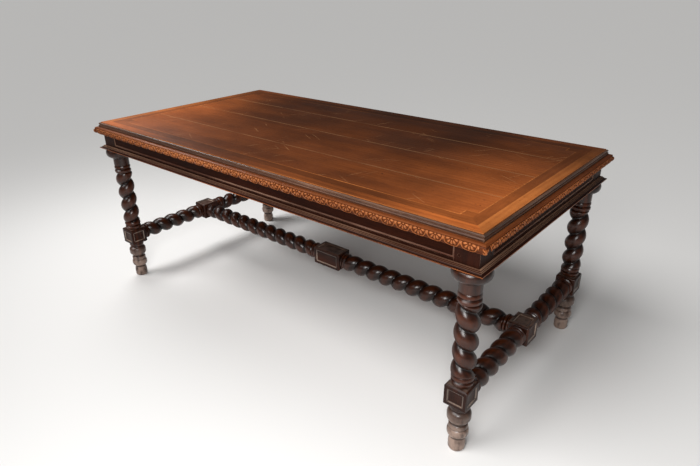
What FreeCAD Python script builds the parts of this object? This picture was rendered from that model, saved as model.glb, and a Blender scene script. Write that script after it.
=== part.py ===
import FreeCAD, Part
import math
import os
from FreeCAD import Vector

# Long table with barley-twist legs and an H stretcher.
# Millimetres. X runs along the table, Y across it, Z up from the floor under its middle.

# Overall: the flat of the top, inside its moulded edge, and the height
top_length = 1860.0
top_width = 930.0
table_height = 760.0

# Clearances: sides of tenons, pegs and bores, and how far a cutting shape runs past what it cuts
fit = 0.2
overrun = 2.0

# Top: bright border, dark band laid into it, string line and field planks
top_thickness = 20.0
border_width = 35.0
band_width = 35.0
band_thickness = 4.0
band_corner_side = 36.0
string_width = 3.0
string_thickness = 2.0
tongue_length = 8.0
tongue_thickness = 6.0
tongue_height_share = 0.40
plank_seam_shares = (0.232, 0.515, 0.786)

# Moulded edge of the border, from its lip up to the flat: (outward share, height share, bow share).
# Going up a moulding, a negative bow is a round and a positive one a hollow.
edge_projection = 8.0
edge_shares = (
    (1.00, 0.00, 0.0),
    (1.00, 0.26, 0.0),
    (0.88, 0.34, 0.0),
    (0.60, 0.42, 0.0),
    (0.60, 0.48, 0.0),
    (0.30, 0.86, -0.40),
    (0.00, 0.86, 0.0),
    (0.00, 1.00, 0.0),
)

# Carved strip under the border: its outer face before carving, from the foot up
carved_height = 32.0
carved_projection = 30.0
carved_shares = (
    (0.52, 0.00, 0.0),
    (1.00, 0.52, -0.20),
    (0.47, 1.00, -0.20),
)

# Apron: corner posts, rails with a sunk field, bead frames
frame_inset = 3.0
post_side = 76.0
apron_height = 96.0
rail_thickness = 28.0
field_depth = 4.0
field_low_share = 0.20
field_high_share = 0.64
bead_width = 6.0

# Apron joints: tenons of the rails in the posts, with two pegs each
rail_tenon_length = 30.0
rail_tenon_thickness = 10.0
rail_tenon_low_share = 0.19
rail_tenon_high_share = 0.81
rail_peg_diameter = 8.0
rail_peg_length = 32.0
rail_peg_height_shares = (0.35, 0.65)

# Base moulding round the foot of the apron, from its foot up
base_height = 12.0
base_projection = 20.0
base_shares = (
    (1.00, 0.00, 0.0),
    (1.00, 0.26, 0.0),
    (0.62, 0.56, 0.14),
    (0.50, 0.56, 0.0),
    (0.50, 0.78, 0.0),
    (0.34, 0.78, 0.0),
    (0.34, 1.00, 0.0),
)

# Bun capital between leg and apron: (radius share, height share, bow share)
capital_height = 48.0
capital_diameter = 114.0
capital_shares = (
    (0.60, 0.00, 0.0),
    (0.66, 0.06, 0.0),
    (0.66, 0.13, 0.0),
    (1.00, 0.55, 0.20),
    (0.74, 1.00, 0.20),
)

# Leg: foot turning, square block, collar, twist, collar, neck and round tenon
block_side = 75.0
block_height = 75.0
foot_height = 175.0
neck_height = 32.0
neck_diameter = 66.0
leg_collar_length = 36.0
leg_tenon_diameter = 34.0
leg_tenon_depth = 45.0
foot_shares = (
    (0.60, 0.000, 0.0),
    (0.70, 0.080, 0.14),
    (0.64, 0.250, 0.06),
    (0.60, 0.285, 0.0),
    (0.66, 0.300, 0.0),
    (0.89, 0.405, 0.16),
    (0.89, 0.475, 0.0),
    (0.70, 0.585, 0.16),
    (0.66, 0.610, 0.0),
    (0.72, 0.630, 0.0),
    (0.98, 0.750, 0.18),
    (0.74, 0.875, 0.18),
    (0.70, 0.900, 0.0),
    (0.84, 0.930, 0.0),
    (0.84, 0.970, 0.0),
    (0.76, 1.000, 0.0),
)

# Twist: one round strand wound round a slim core
twist_crest_diameter = 74.0
twist_core_diameter = 48.0
leg_twist_pitch = 64.0
leg_twist_start_shares = {
    "front_left": 0.41,
    "front_right": 0.70,
    "back_left": 0.50,
    "back_right": 0.46,
}
stretcher_twist_pitch = 65.0
twist_steps = 16
strand_gap = 1.0
strand_sink = 1.5
twist_shoulder = 14.0
twist_end_share = 0.84

# Collar at each end of a twist, from the block or neck towards the twist
collar_shares = (
    (0.82, 0.00, 0.0),
    (0.92, 0.16, 0.0),
    (0.92, 0.36, 0.0),
    (0.78, 0.48, 0.0),
    (0.94, 0.66, 0.0),
    (0.94, 0.84, 0.0),
    (0.84, 1.00, 0.0),
)

# Square blocks: bevelled ends and sunk panels
block_bevel = 4.0
panel_margin = 13.0
panel_depth = 2.0

# Stretchers: middle blocks, collars, round tenons with a peg each
end_block_length = 87.0
centre_block_length = 146.0
stretcher_collar_length = 25.0
stretcher_tenon_diameter = 26.0
stretcher_tenon_length = 34.0
stretcher_peg_diameter = 8.0
stretcher_peg_beyond = 5.0
stretcher_peg_share = 0.65

# Cross bearers under the planks
bearer_width = 45.0
bearer_height = 60.0
bearer_stub_length = 12.0
bearer_stub_width = 25.0
bearer_stub_height = 35.0
bearer_place_shares = (-0.36, 0.36)

# Buttons that hold the top to the rails, and their screws
button_width = 30.0
button_length = 45.0
button_thickness = 18.0
button_tongue_length = 8.0
button_tongue_thickness = 8.0
long_button_shares = (-0.70, 0.0, 0.70)
end_button_shares = (-0.50, 0.50)
screw_diameter = 4.0
screw_length = 30.0
screw_head_diameter = 8.0
screw_head_height = 2.5
screw_place_share = 0.60

# Places that follow from the sizes
half_top_x = top_length / 2
half_top_y = top_width / 2
top_underside = table_height - top_thickness
apron_foot = top_underside - apron_height
frame_x = half_top_x - frame_inset
frame_y = half_top_y - frame_inset
leg_x = frame_x - post_side / 2
leg_y = frame_y - post_side / 2
field_inset = border_width + band_width
field_x = half_top_x - field_inset
field_y = half_top_y - field_inset
capital_foot = apron_foot - capital_height
neck_foot = capital_foot - neck_height
block_top = foot_height + block_height
stretcher_z = foot_height + block_height / 2
tongue_low = top_underside + tongue_height_share * top_thickness - tongue_thickness / 2
tongue_high = tongue_low + tongue_thickness
crest_radius = twist_crest_diameter / 2

UP = Vector(0, 0, 1)
ORIGIN = Vector(0, 0, 0)

# Sides of the table: quarter turns from the front, half length along the side, half distance out to it
SIDES = {
    "front": (0, frame_x, frame_y),
    "right": (1, frame_y, frame_x),
    "back": (2, frame_x, frame_y),
    "left": (3, frame_y, frame_x),
}
QUARTER_TURN = math.degrees(math.pi / 2)
FULL_TURN = 4 * QUARTER_TURN
HALF_ROUND_SHARE = 0.5

parts = {}


# Shapes that several pieces share


def box(low, high):
    """Box between two corners."""
    size = high - low
    return Part.makeBox(size.x, size.y, size.z, low)


def bowed_edge(start, end, bow_share):
    """Straight edge, or an arc that bows to the right of its way by a share of its chord (YZ plane)."""
    if bow_share == 0:
        return Part.makeLine(start, end)
    chord = end - start
    middle = start + chord / 2 + Vector(0, chord.z, -chord.y) * bow_share
    return Part.Arc(start, middle, end).toShape()


def outline(points):
    """Closed face in the YZ plane through (y, z, bow share); a bow is that of the edge ending there."""
    edges = []
    for index, (y, z, bow_share) in enumerate(points):
        before = points[index - 1]
        start = Vector(0, before[0], before[1])
        edges.append(bowed_edge(start, Vector(0, y, z), bow_share))
    return Part.Face(Part.Wire(edges))


def turned(shares, radius, length, foot):
    """Solid of revolution on the Z axis from a table of shares, standing on the given height."""
    points = [(0, foot, 0.0)]
    for radius_share, height_share, bow_share in shares:
        points.append((radius_share * radius, foot + height_share * length, bow_share))
    points.append((0, foot + length, 0.0))
    return outline(points).revolve(ORIGIN, UP, FULL_TURN)


def rod(diameter, start, direction, length):
    """Round rod."""
    return Part.makeCylinder(diameter / 2, length, start, direction)


def on_side(shape, side):
    """Turn a shape that was made at the front of the table to another side."""
    turned_shape = shape.copy()
    turned_shape.rotate(ORIGIN, UP, QUARTER_TURN * SIDES[side][0])
    return turned_shape


def mitred(points, half_length, half_out):
    """Moulding along the front of a rectangle, mitred; points are (inset, z, bow share)."""
    face = outline([(inset - half_out, z, bow_share) for inset, z, bow_share in points])
    low = face.BoundBox.ZMin - overrun
    high = face.BoundBox.ZMax + overrun
    near = face.BoundBox.YMin + half_out - overrun
    far = face.BoundBox.YMax + half_out + overrun
    face.translate(Vector(near - half_length, 0, 0))
    bar = face.extrude(Vector(2 * (half_length - near), 0, 0))
    corners = []
    for inset, way in ((near, -1), (near, 1), (far, 1), (far, -1)):
        corners.append(Vector(way * (half_length - inset), inset - half_out, low))
    wedge = Part.Face(Part.makePolygon(corners + corners[:1])).extrude(UP * (high - low))
    return bar.common(wedge)


def stepped_profile(shares, projection, foot, height, face_inset):
    """Moulding section from its shares, closed by the flat back at the inset of the face that carries it."""
    points = [(face_inset, foot, 0.0)]
    for out_share, height_share, bow_share in shares:
        points.append((face_inset - out_share * projection, foot + height_share * height, bow_share))
    points.append((face_inset, foot + height, 0.0))
    return points


def at_corners(shape):
    """The front left piece and its mirror images, by corner name, moved to the four leg axes."""
    found = {}
    for depth, y_sign in (("front", -1), ("back", 1)):
        for hand, x_sign in (("left", -1), ("right", 1)):
            piece = shape.copy()
            if x_sign > 0:
                piece = piece.mirror(ORIGIN, Vector(1, 0, 0))
            if y_sign > 0:
                piece = piece.mirror(ORIGIN, Vector(0, 1, 0))
            piece.translate(Vector(x_sign * leg_x, y_sign * leg_y, 0))
            found[depth + "_" + hand] = piece
    return found


# Barley twist and square blocks


def twist(length, pitch, foot, left_handed, start_share):
    """One round strand wound round a core on the Z axis, its crest starting a share of a turn from +X."""
    core_radius = twist_core_diameter / 2
    root_radius = core_radius - strand_sink
    half_strand = (pitch - strand_gap) / 2
    low = Vector(root_radius, 0, -half_strand)
    high = Vector(root_radius, 0, half_strand)
    crown = Part.Arc(low, Vector(crest_radius, 0, 0), high).toShape()
    strand = Part.Wire([crown, Part.makeLine(high, low)])
    turn_sign = -1 if left_handed else 1
    sections = []
    for step in range(math.ceil((length / pitch + 2) * twist_steps) + 1):
        section = strand.copy()
        section.rotate(ORIGIN, UP, turn_sign * FULL_TURN * (step / twist_steps + start_share))
        section.translate(UP * (pitch * (step / twist_steps - 1)))
        sections.append(section)
    wound = Part.makeLoft(sections, True, True)
    core = rod(twist_core_diameter, UP * -pitch, UP, length + 2 * pitch)
    end_radius = twist_end_share * crest_radius
    wide = crest_radius + overrun
    spindle = [
        (0, 0, 0.0),
        (end_radius, 0, 0.0),
        (wide, twist_shoulder, 0.0),
        (wide, length - twist_shoulder, 0.0),
        (end_radius, length, 0.0),
        (0, length, 0.0),
    ]
    envelope = outline(spindle).revolve(ORIGIN, UP, FULL_TURN)
    shape = core.fuse(wound).common(envelope)
    shape.translate(UP * foot)
    return shape


def square_block(length, foot, panel_ways):
    """Square block on the Z axis with bevelled ends and a sunk panel on each face named by its way out."""
    half = block_side / 2
    block = box(Vector(-half, -half, foot), Vector(half, half, foot + length))
    ends = [edge for edge in block.Edges if edge.BoundBox.ZLength < block_bevel]
    block = block.makeChamfer(block_bevel, ends)
    half_panel = half - panel_margin
    low_z = foot + panel_margin
    high_z = foot + length - panel_margin
    sunk = []
    for way in panel_ways:
        across = Vector(way.y, way.x, 0)
        inner = way * (half - panel_depth) - across * half_panel
        outer = way * (half + overrun) + across * half_panel
        low = Vector(min(inner.x, outer.x), min(inner.y, outer.y), low_z)
        high = Vector(max(inner.x, outer.x), max(inner.y, outer.y), high_z)
        sunk.append(box(low, high))
    return block.cut(sunk)


# Legs, capitals and posts


def make_leg(start_share):
    """Front left leg on the Z axis; the end stretcher comes to its +Y side."""
    way_x = Vector(1, 0, 0)
    way_y = Vector(0, 1, 0)
    twist_foot = block_top + leg_collar_length
    twist_head = neck_foot - leg_collar_length
    upper_collar = turned(collar_shares, crest_radius, leg_collar_length, 0)
    upper_collar = upper_collar.mirror(ORIGIN, UP)
    upper_collar.translate(UP * neck_foot)
    pieces = [
        turned(foot_shares, block_side / 2, foot_height, 0),
        square_block(block_height, foot_height, [way_x, -way_x, -way_y]),
        turned(collar_shares, crest_radius, leg_collar_length, block_top),
        twist(twist_head - twist_foot, leg_twist_pitch, twist_foot, False, start_share),
        upper_collar,
        rod(neck_diameter, UP * neck_foot, UP, neck_height),
        rod(leg_tenon_diameter, UP * capital_foot, UP, capital_height + leg_tenon_depth),
    ]
    leg = pieces[0].multiFuse(pieces[1:]).removeSplitter()
    socket_foot = Vector(0, block_side / 2 - stretcher_tenon_length - fit, stretcher_z)
    socket = rod(stretcher_tenon_diameter + 2 * fit, socket_foot, way_y, stretcher_tenon_length + overrun)
    return leg.cut([socket, peg_rod(fit)])


def peg_rod(clearance):
    """Peg of the leg's stretcher joint, from the sunk panel on the +X side, or its hole with a clearance."""
    place = Vector(
        block_side / 2 - panel_depth,
        block_side / 2 - stretcher_peg_share * stretcher_tenon_length,
        stretcher_z,
    )
    length = place.x + stretcher_tenon_diameter / 2 + stretcher_peg_beyond
    return rod(stretcher_peg_diameter + 2 * clearance, place, Vector(-1, 0, 0), length + clearance)


def make_capital():
    """Bun capital on the Z axis with the bore of the leg's tenon."""
    bun = turned(capital_shares, capital_diameter / 2, capital_height, capital_foot)
    bore_foot = UP * (capital_foot - overrun)
    return bun.cut(rod(leg_tenon_diameter + 2 * fit, bore_foot, UP, capital_height + 2 * overrun))


def rail_tenon(clearance):
    """Tenon of the front rail in the front left post, or its mortise with a clearance."""
    shoulder = post_side / 2
    middle = rail_thickness / 2 - shoulder
    half = rail_tenon_thickness / 2 + clearance
    low_z = apron_foot + rail_tenon_low_share * apron_height - clearance
    high_z = apron_foot + rail_tenon_high_share * apron_height + clearance
    low = Vector(shoulder - rail_tenon_length - clearance, middle - half, low_z)
    return box(low, Vector(shoulder, middle + half, high_z))


def rail_pegs(clearance):
    """Pegs of the front rail's tenon in the front left post, or their holes with a clearance."""
    pegs = []
    for share in rail_peg_height_shares:
        place = Vector(
            post_side / 2 - rail_tenon_length / 2,
            -post_side / 2,
            apron_foot + share * apron_height,
        )
        diameter = rail_peg_diameter + 2 * clearance
        pegs.append(rod(diameter, place, Vector(0, 1, 0), rail_peg_length + clearance))
    return pegs


def swapped(shape):
    """A shape of the front left post's front joint, turned over the diagonal to its end joint."""
    return shape.mirror(ORIGIN, Vector(1, -1, 0))


def make_post():
    """Front left post on the Z axis, mortised for both rails, bored for the leg's tenon."""
    half = post_side / 2
    post = box(Vector(-half, -half, apron_foot), Vector(half, half, top_underside))
    bore = rod(leg_tenon_diameter + 2 * fit, UP * (apron_foot - overrun), UP, leg_tenon_depth + fit + overrun)
    cuts = [rail_tenon(fit)] + rail_pegs(fit)
    return post.cut(cuts + [swapped(cut) for cut in cuts] + [bore])


# Apron rails, bead frames and mouldings


def bearer_places():
    """Distances of the bearers from the middle of a long rail."""
    return [share * (frame_x - post_side) for share in bearer_place_shares]


def button_places(side):
    """Distances of the buttons from the middle of a side's rail."""
    shares = long_button_shares if side in ("front", "back") else end_button_shares
    return [share * (SIDES[side][1] - post_side) for share in shares]


def button_tongue(place, half_out, clearance):
    """Tongue of a button at the front, or its slot in the rail with a clearance."""
    inner = rail_thickness - half_out
    foot = top_underside - button_thickness
    half = button_width / 2 + clearance
    low = Vector(place - half, inner - button_tongue_length - clearance, foot - clearance)
    return box(low, Vector(place + half, inner, foot + button_tongue_thickness + clearance))


def bearer_stub(place, half_out, clearance):
    """Stub tenon of a bearer at the front, or its mortise in the rail with a clearance."""
    inner = rail_thickness - half_out
    half = bearer_stub_width / 2 + clearance
    middle_z = top_underside - bearer_height / 2
    half_z = bearer_stub_height / 2 + clearance
    low = Vector(place - half, inner - bearer_stub_length - clearance, middle_z - half_z)
    return box(low, Vector(place + half, inner, middle_z + half_z))


def make_rail(side):
    """Rail made at the front: sunk field outside, a tenon at each end, slots and mortises inside."""
    half_length, half_out = SIDES[side][1:]
    half = half_length - post_side
    outer = -half_out
    rail = box(Vector(-half, outer, apron_foot), Vector(half, outer + rail_thickness, top_underside))
    field_low = apron_foot + field_low_share * apron_height
    field_high = apron_foot + field_high_share * apron_height
    cuts = [
        box(
            Vector(-half - overrun, outer - overrun, field_low),
            Vector(half + overrun, outer + field_depth, field_high),
        )
    ]
    cuts += [button_tongue(place, half_out, fit) for place in button_places(side)]
    if side in ("front", "back"):
        cuts += [bearer_stub(place, half_out, fit) for place in bearer_places()]
    rail = rail.cut(cuts)
    corner = Vector(post_side / 2 - half_length, post_side / 2 - half_out, 0)
    tenon = rail_tenon(0).cut(rail_pegs(fit))
    tenon.translate(corner)
    return rail.fuse([tenon, tenon.mirror(ORIGIN, Vector(1, 0, 0))])


def make_bead_frame(side):
    """Four mitred half-round strips lying in the sunk field of a rail, made at the front."""
    half_length, half_out = SIDES[side][1:]
    half = half_length - post_side
    half_high = (field_high_share - field_low_share) * apron_height / 2
    middle = apron_foot + (field_low_share + field_high_share) * apron_height / 2
    bead = [(bead_width, 0, 0.0), (0, 0, HALF_ROUND_SHARE)]
    strips = []
    for quarter in range(4):
        along, out = (half, half_high) if quarter % 2 == 0 else (half_high, half)
        strip = mitred(bead, along, out)
        strip.rotate(ORIGIN, UP, QUARTER_TURN * quarter)
        strip.rotate(ORIGIN, Vector(1, 0, 0), QUARTER_TURN)
        strip.translate(Vector(0, field_depth - half_out, middle))
        strips.append(strip)
    return Part.makeCompound(strips)


# Stretchers


def stretcher_half(block_length, reach):
    """Outer half of a stretcher along +Z, left-handed, with its shoulder at reach and its tenon beyond."""
    start = block_length / 2
    twist_foot = start + stretcher_collar_length
    twist_head = reach - stretcher_collar_length
    outer_collar = turned(collar_shares, crest_radius, stretcher_collar_length, 0).mirror(ORIGIN, UP)
    outer_collar.translate(UP * reach)
    pieces = [
        turned(collar_shares, crest_radius, stretcher_collar_length, start),
        twist(twist_head - twist_foot, stretcher_twist_pitch, twist_foot, True, 0),
        outer_collar,
        rod(stretcher_tenon_diameter, UP * reach, UP, stretcher_tenon_length),
    ]
    return pieces[0].multiFuse(pieces[1:])


def make_stretcher(half, block_length, panel_ways):
    """Stretcher on the Z axis from its outer half, the mirror image of that and the middle block."""
    block = square_block(block_length, -block_length / 2, panel_ways)
    return block.multiFuse([half, half.mirror(ORIGIN, UP)]).removeSplitter()


def tenon_peg(reach, clearance):
    """Peg across the tenon at the centre stretcher's +X end, from below, or its hole with a clearance."""
    place = Vector(
        reach + stretcher_peg_share * stretcher_tenon_length,
        0,
        stretcher_z - block_side / 2,
    )
    length = block_side / 2 + stretcher_tenon_diameter / 2 + stretcher_peg_beyond
    return rod(stretcher_peg_diameter + 2 * clearance, place, UP, length + clearance)


def add_stretchers():
    """Two end stretchers and the centre stretcher with their pegs."""
    way_x = Vector(1, 0, 0)
    way_y = Vector(0, 1, 0)
    end_half = stretcher_half(end_block_length, leg_y - block_side / 2)
    centre_reach = leg_x - block_side / 2
    pegs = []
    for hand, sign in (("left", -1), ("right", 1)):
        end = make_stretcher(end_half, end_block_length, [way_x * sign, -way_y])
        end.rotate(ORIGIN, way_x, -QUARTER_TURN)
        end.translate(Vector(sign * leg_x, 0, stretcher_z))
        socket_foot = Vector(sign * (centre_reach - overrun), 0, stretcher_z)
        depth = stretcher_tenon_length + fit + overrun
        socket = rod(stretcher_tenon_diameter + 2 * fit, socket_foot, way_x * sign, depth)
        hole = tenon_peg(centre_reach, fit)
        peg = tenon_peg(centre_reach, 0)
        if sign < 0:
            hole = hole.mirror(ORIGIN, way_x)
            peg = peg.mirror(ORIGIN, way_x)
        leg_holes = []
        for y_sign in (-1, 1):
            leg_holes.append(placed_leg_peg(sign, y_sign, fit))
            pegs.append(placed_leg_peg(sign, y_sign, 0))
        parts["end_stretcher_" + hand] = end.cut([socket, hole] + leg_holes)
        pegs.append(peg)
    centre = make_stretcher(
        stretcher_half(centre_block_length, centre_reach),
        centre_block_length,
        [-way_x, way_y, -way_y],
    )
    centre.rotate(ORIGIN, way_y, QUARTER_TURN)
    centre.translate(UP * stretcher_z)
    hole = tenon_peg(centre_reach, fit)
    parts["centre_stretcher"] = centre.cut([hole, hole.mirror(ORIGIN, way_x)])
    parts["stretcher_pegs"] = Part.makeCompound(pegs)


def placed_leg_peg(x_sign, y_sign, clearance):
    """The peg of one leg's stretcher joint, or its hole, in its place."""
    names = {(-1, -1): "front_left", (1, -1): "front_right", (-1, 1): "back_left", (1, 1): "back_right"}
    return at_corners(peg_rod(clearance))[names[(x_sign, y_sign)]]


# Top: border, bands, string line, planks, carved strips


def border_profile():
    """Section of a border member: moulded edge outside, groove inside, a bed for the band."""
    groove_back = field_inset - tongue_length - fit
    rebate = table_height - band_thickness
    points = [(field_inset, top_underside, 0.0)]
    for out_share, height_share, bow_share in edge_shares:
        points.append((-out_share * edge_projection, top_underside + height_share * top_thickness, bow_share))
    points += [
        (border_width, table_height, 0.0),
        (border_width, rebate, 0.0),
        (field_inset, rebate, 0.0),
        (field_inset, tongue_high + fit, 0.0),
        (groove_back, tongue_high + fit, 0.0),
        (groove_back, tongue_low - fit, 0.0),
        (field_inset, tongue_low - fit, 0.0),
    ]
    return points


def band_profile():
    """Section of the dark band in its rebate."""
    rebate = table_height - band_thickness
    return [
        (border_width, rebate, 0.0),
        (field_inset, rebate, 0.0),
        (field_inset, table_height, 0.0),
        (border_width, table_height, 0.0),
    ]


def notched_corners(inset):
    """Corners of the string line, inset from the edge of the field, stepped in at the field's corners."""
    x = field_x - inset
    y = field_y - inset
    notch = band_corner_side
    return [
        Vector(x - notch, -y, 0),
        Vector(x - notch, notch - y, 0),
        Vector(x, notch - y, 0),
        Vector(x, y - notch, 0),
        Vector(x - notch, y - notch, 0),
        Vector(x - notch, y, 0),
        Vector(notch - x, y, 0),
        Vector(notch - x, y - notch, 0),
        Vector(-x, y - notch, 0),
        Vector(-x, notch - y, 0),
        Vector(notch - x, notch - y, 0),
        Vector(notch - x, -y, 0),
    ]


def string_strips():
    """The string line as straight strips with mitred ends, let into the planks."""
    outer = notched_corners(0)
    inner = notched_corners(string_width)
    strips = []
    for index in range(len(outer)):
        loop = [outer[index - 1], outer[index], inner[index], inner[index - 1], outer[index - 1]]
        strip = Part.Face(Part.makePolygon(loop)).extrude(UP * string_thickness)
        strip.translate(UP * (table_height - string_thickness))
        strips.append(strip)
    return strips


def band_corners():
    """Dark squares in the four corners of the field, outside the string line."""
    squares = []
    for x_sign in (-1, 1):
        for y_sign in (-1, 1):
            outer = Vector(x_sign * field_x, y_sign * field_y, 0)
            inner = Vector(
                x_sign * (field_x - band_corner_side),
                y_sign * (field_y - band_corner_side),
                0,
            )
            low = Vector(min(outer.x, inner.x), min(outer.y, inner.y), table_height - band_thickness)
            high = Vector(max(outer.x, inner.x), max(outer.y, inner.y), table_height)
            squares.append(box(low, high))
    return squares


def add_planks(inlays):
    """Field planks, tongued into the border on their outer edges, with pockets for the inlays."""
    slab = box(Vector(-field_x, -field_y, top_underside), Vector(field_x, field_y, table_height))
    reach_x = field_x + tongue_length
    reach_y = field_y + tongue_length
    tongues = box(Vector(-reach_x, -reach_y, tongue_low), Vector(reach_x, reach_y, tongue_high))
    field = slab.fuse(tongues).cut(inlays)
    seams = [-reach_y - overrun]
    for share in plank_seam_shares:
        seams.append((2 * share - 1) * field_y)
    seams.append(reach_y + overrun)
    for index in range(len(seams) - 1):
        low = Vector(-reach_x - overrun, seams[index], top_underside - overrun)
        high = Vector(reach_x + overrun, seams[index + 1], table_height + overrun)
        parts["field_plank_%d" % (index + 1)] = field.common(box(low, high))


def make_screw(place, half_out, clearance):
    """Round-headed screw of a button at the front, or its hole with a clearance."""
    head_foot = top_underside - button_thickness - screw_head_height
    inner = rail_thickness - half_out
    foot = Vector(place, inner + screw_place_share * button_length, head_foot)
    neck = foot + UP * screw_head_height
    head = rod(screw_head_diameter + 2 * clearance, foot, UP, screw_head_height)
    shank = rod(screw_diameter + 2 * clearance, neck, UP, screw_length + clearance)
    return head.fuse(shank)


def make_button(place, half_out):
    """Wooden button at the front, its tongue in the rail, its body under the border."""
    inner = rail_thickness - half_out
    half = button_width / 2
    low = Vector(place - half, inner, top_underside - button_thickness)
    body = box(low, Vector(place + half, inner + button_length, top_underside))
    return body.fuse(button_tongue(place, half_out, 0)).cut(make_screw(place, half_out, fit))


# Build every piece

legs = {corner: at_corners(make_leg(share))[corner] for corner, share in leg_twist_start_shares.items()}
capitals = at_corners(make_capital())
posts = at_corners(make_post())
for corner in legs:
    parts["leg_" + corner] = legs[corner]
    parts["capital_" + corner] = capitals[corner]
    parts["post_" + corner] = posts[corner]

front_left_pegs = rail_pegs(0)
corner_pegs = at_corners(Part.makeCompound(front_left_pegs + [swapped(peg) for peg in front_left_pegs]))
parts["apron_pegs"] = Part.makeCompound([solid for group in corner_pegs.values() for solid in group.Solids])

add_stretchers()

strips = string_strips()
squares = band_corners()
parts["string_line"] = Part.makeCompound(strips)
parts["band_corners"] = Part.makeCompound(squares)
add_planks(strips + squares)

base_profile = stepped_profile(base_shares, base_projection, apron_foot, base_height, 0)
carved_foot = top_underside - carved_height
carved_profile = stepped_profile(carved_shares, carved_projection, carved_foot, carved_height, 0)
buttons = []
screws = []
for side, (quarter, half_length, half_out) in SIDES.items():
    border = mitred(border_profile(), half_length + frame_inset, half_out + frame_inset)
    side_holes = [make_screw(place, half_out, fit) for place in button_places(side)]
    parts["top_border_" + side] = on_side(border.cut(side_holes), side)
    parts["top_band_" + side] = on_side(
        mitred(band_profile(), half_length + frame_inset, half_out + frame_inset), side
    )
    parts["carved_strip_" + side] = on_side(mitred(carved_profile, half_length, half_out), side)
    parts["base_moulding_" + side] = on_side(mitred(base_profile, half_length, half_out), side)
    parts["apron_rail_" + side] = on_side(make_rail(side), side)
    parts["panel_bead_" + side] = on_side(make_bead_frame(side), side)
    buttons += [on_side(make_button(place, half_out), side) for place in button_places(side)]
    screws += [on_side(make_screw(place, half_out, 0), side) for place in button_places(side)]
parts["top_buttons"] = Part.makeCompound(buttons)
parts["button_screws"] = Part.makeCompound(screws)

for hand, place in zip(("left", "right"), bearer_places()):
    inner = frame_y - rail_thickness
    half = bearer_width / 2
    low = Vector(place - half, -inner, top_underside - bearer_height)
    bearer = box(low, Vector(place + half, inner, top_underside))
    stub = bearer_stub(place, frame_y, 0)
    parts["cross_bearer_" + hand] = bearer.fuse([stub, stub.mirror(ORIGIN, Vector(0, 1, 0))])

os.makedirs("parts", exist_ok=True)
for name, shape in parts.items():
    shape.exportStep("parts/" + name + ".step")
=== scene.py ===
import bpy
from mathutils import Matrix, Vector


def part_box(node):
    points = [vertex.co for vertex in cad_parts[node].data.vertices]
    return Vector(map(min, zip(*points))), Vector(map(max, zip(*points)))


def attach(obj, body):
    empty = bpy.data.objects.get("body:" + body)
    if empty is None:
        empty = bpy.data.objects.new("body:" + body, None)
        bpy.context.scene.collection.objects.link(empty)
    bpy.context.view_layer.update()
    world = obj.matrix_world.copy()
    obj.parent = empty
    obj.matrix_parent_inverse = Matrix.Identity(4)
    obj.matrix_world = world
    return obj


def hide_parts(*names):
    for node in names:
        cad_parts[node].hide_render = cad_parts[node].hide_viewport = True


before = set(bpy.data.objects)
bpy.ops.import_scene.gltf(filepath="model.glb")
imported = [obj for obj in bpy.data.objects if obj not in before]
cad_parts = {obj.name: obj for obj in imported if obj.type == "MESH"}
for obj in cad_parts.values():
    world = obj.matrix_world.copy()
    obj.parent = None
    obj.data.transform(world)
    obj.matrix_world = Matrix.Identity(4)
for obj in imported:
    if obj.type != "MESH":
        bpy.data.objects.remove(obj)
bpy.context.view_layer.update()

import math

import bmesh
import bpy
from mathutils import Matrix, Vector

bl_info = {
    "name": "Barley-twist table",
    "version": (1, 0, 0),
    "blender": (4, 5, 0),
    "location": "3D View > Sidebar > Table",
    "description": "Surfaces of a long table with barley-twist legs, built on its joinery",
    "category": "Object",
}

# Sides of the table, with their quarter turns from the front
SIDES = {"front": 0, "right": 1, "back": 2, "left": 3}
LONG_SIDES = ("front", "back")

# Corners of the table, with the signs of their places and the turn at which the leg's twist starts
CORNERS = {
    "front_left": (-1, -1, 0.41),
    "front_right": (1, -1, 0.70),
    "back_left": (-1, 1, 0.50),
    "back_right": (1, 1, 0.46),
}
PLANKS = 4

# Sections as shares of a size: outward or radius, height, bow of the line that ends there
EDGE = (
    (1.00, 0.00, 0.0), (1.00, 0.26, 0.0), (0.88, 0.34, 0.0), (0.60, 0.42, 0.0),
    (0.60, 0.48, 0.0), (0.30, 0.86, -0.40), (0.00, 0.86, 0.0), (0.00, 1.00, 0.0),
)
BASE = (
    (1.00, 0.00, 0.0), (1.00, 0.26, 0.0), (0.62, 0.56, 0.14), (0.50, 0.56, 0.0),
    (0.50, 0.78, 0.0), (0.34, 0.78, 0.0), (0.34, 1.00, 0.0),
)
CAPITAL = (
    (0.60, 0.00, 0.0), (0.66, 0.06, 0.0), (0.66, 0.13, 0.0), (1.00, 0.55, 0.20),
    (0.74, 1.00, 0.20),
)
FOOT = (
    (0.60, 0.000, 0.0), (0.70, 0.080, 0.14), (0.64, 0.250, 0.06), (0.60, 0.285, 0.0),
    (0.66, 0.300, 0.0), (0.89, 0.405, 0.16), (0.77, 0.480, 0.14), (0.74, 0.490, 0.0),
    (0.80, 0.500, 0.0), (0.80, 0.560, 0.0), (0.70, 0.585, 0.10), (0.66, 0.610, 0.0),
    (0.72, 0.630, 0.0), (0.98, 0.750, 0.18), (0.74, 0.875, 0.18), (0.70, 0.900, 0.0),
    (0.84, 0.930, 0.0), (0.84, 0.970, 0.0), (0.76, 1.000, 0.0),
)
COLLAR = (
    (0.82, 0.00, 0.0), (0.92, 0.16, 0.0), (0.92, 0.36, 0.0), (0.78, 0.48, 0.0),
    (0.94, 0.66, 0.0), (0.94, 0.84, 0.0), (0.84, 1.00, 0.0),
)

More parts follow.
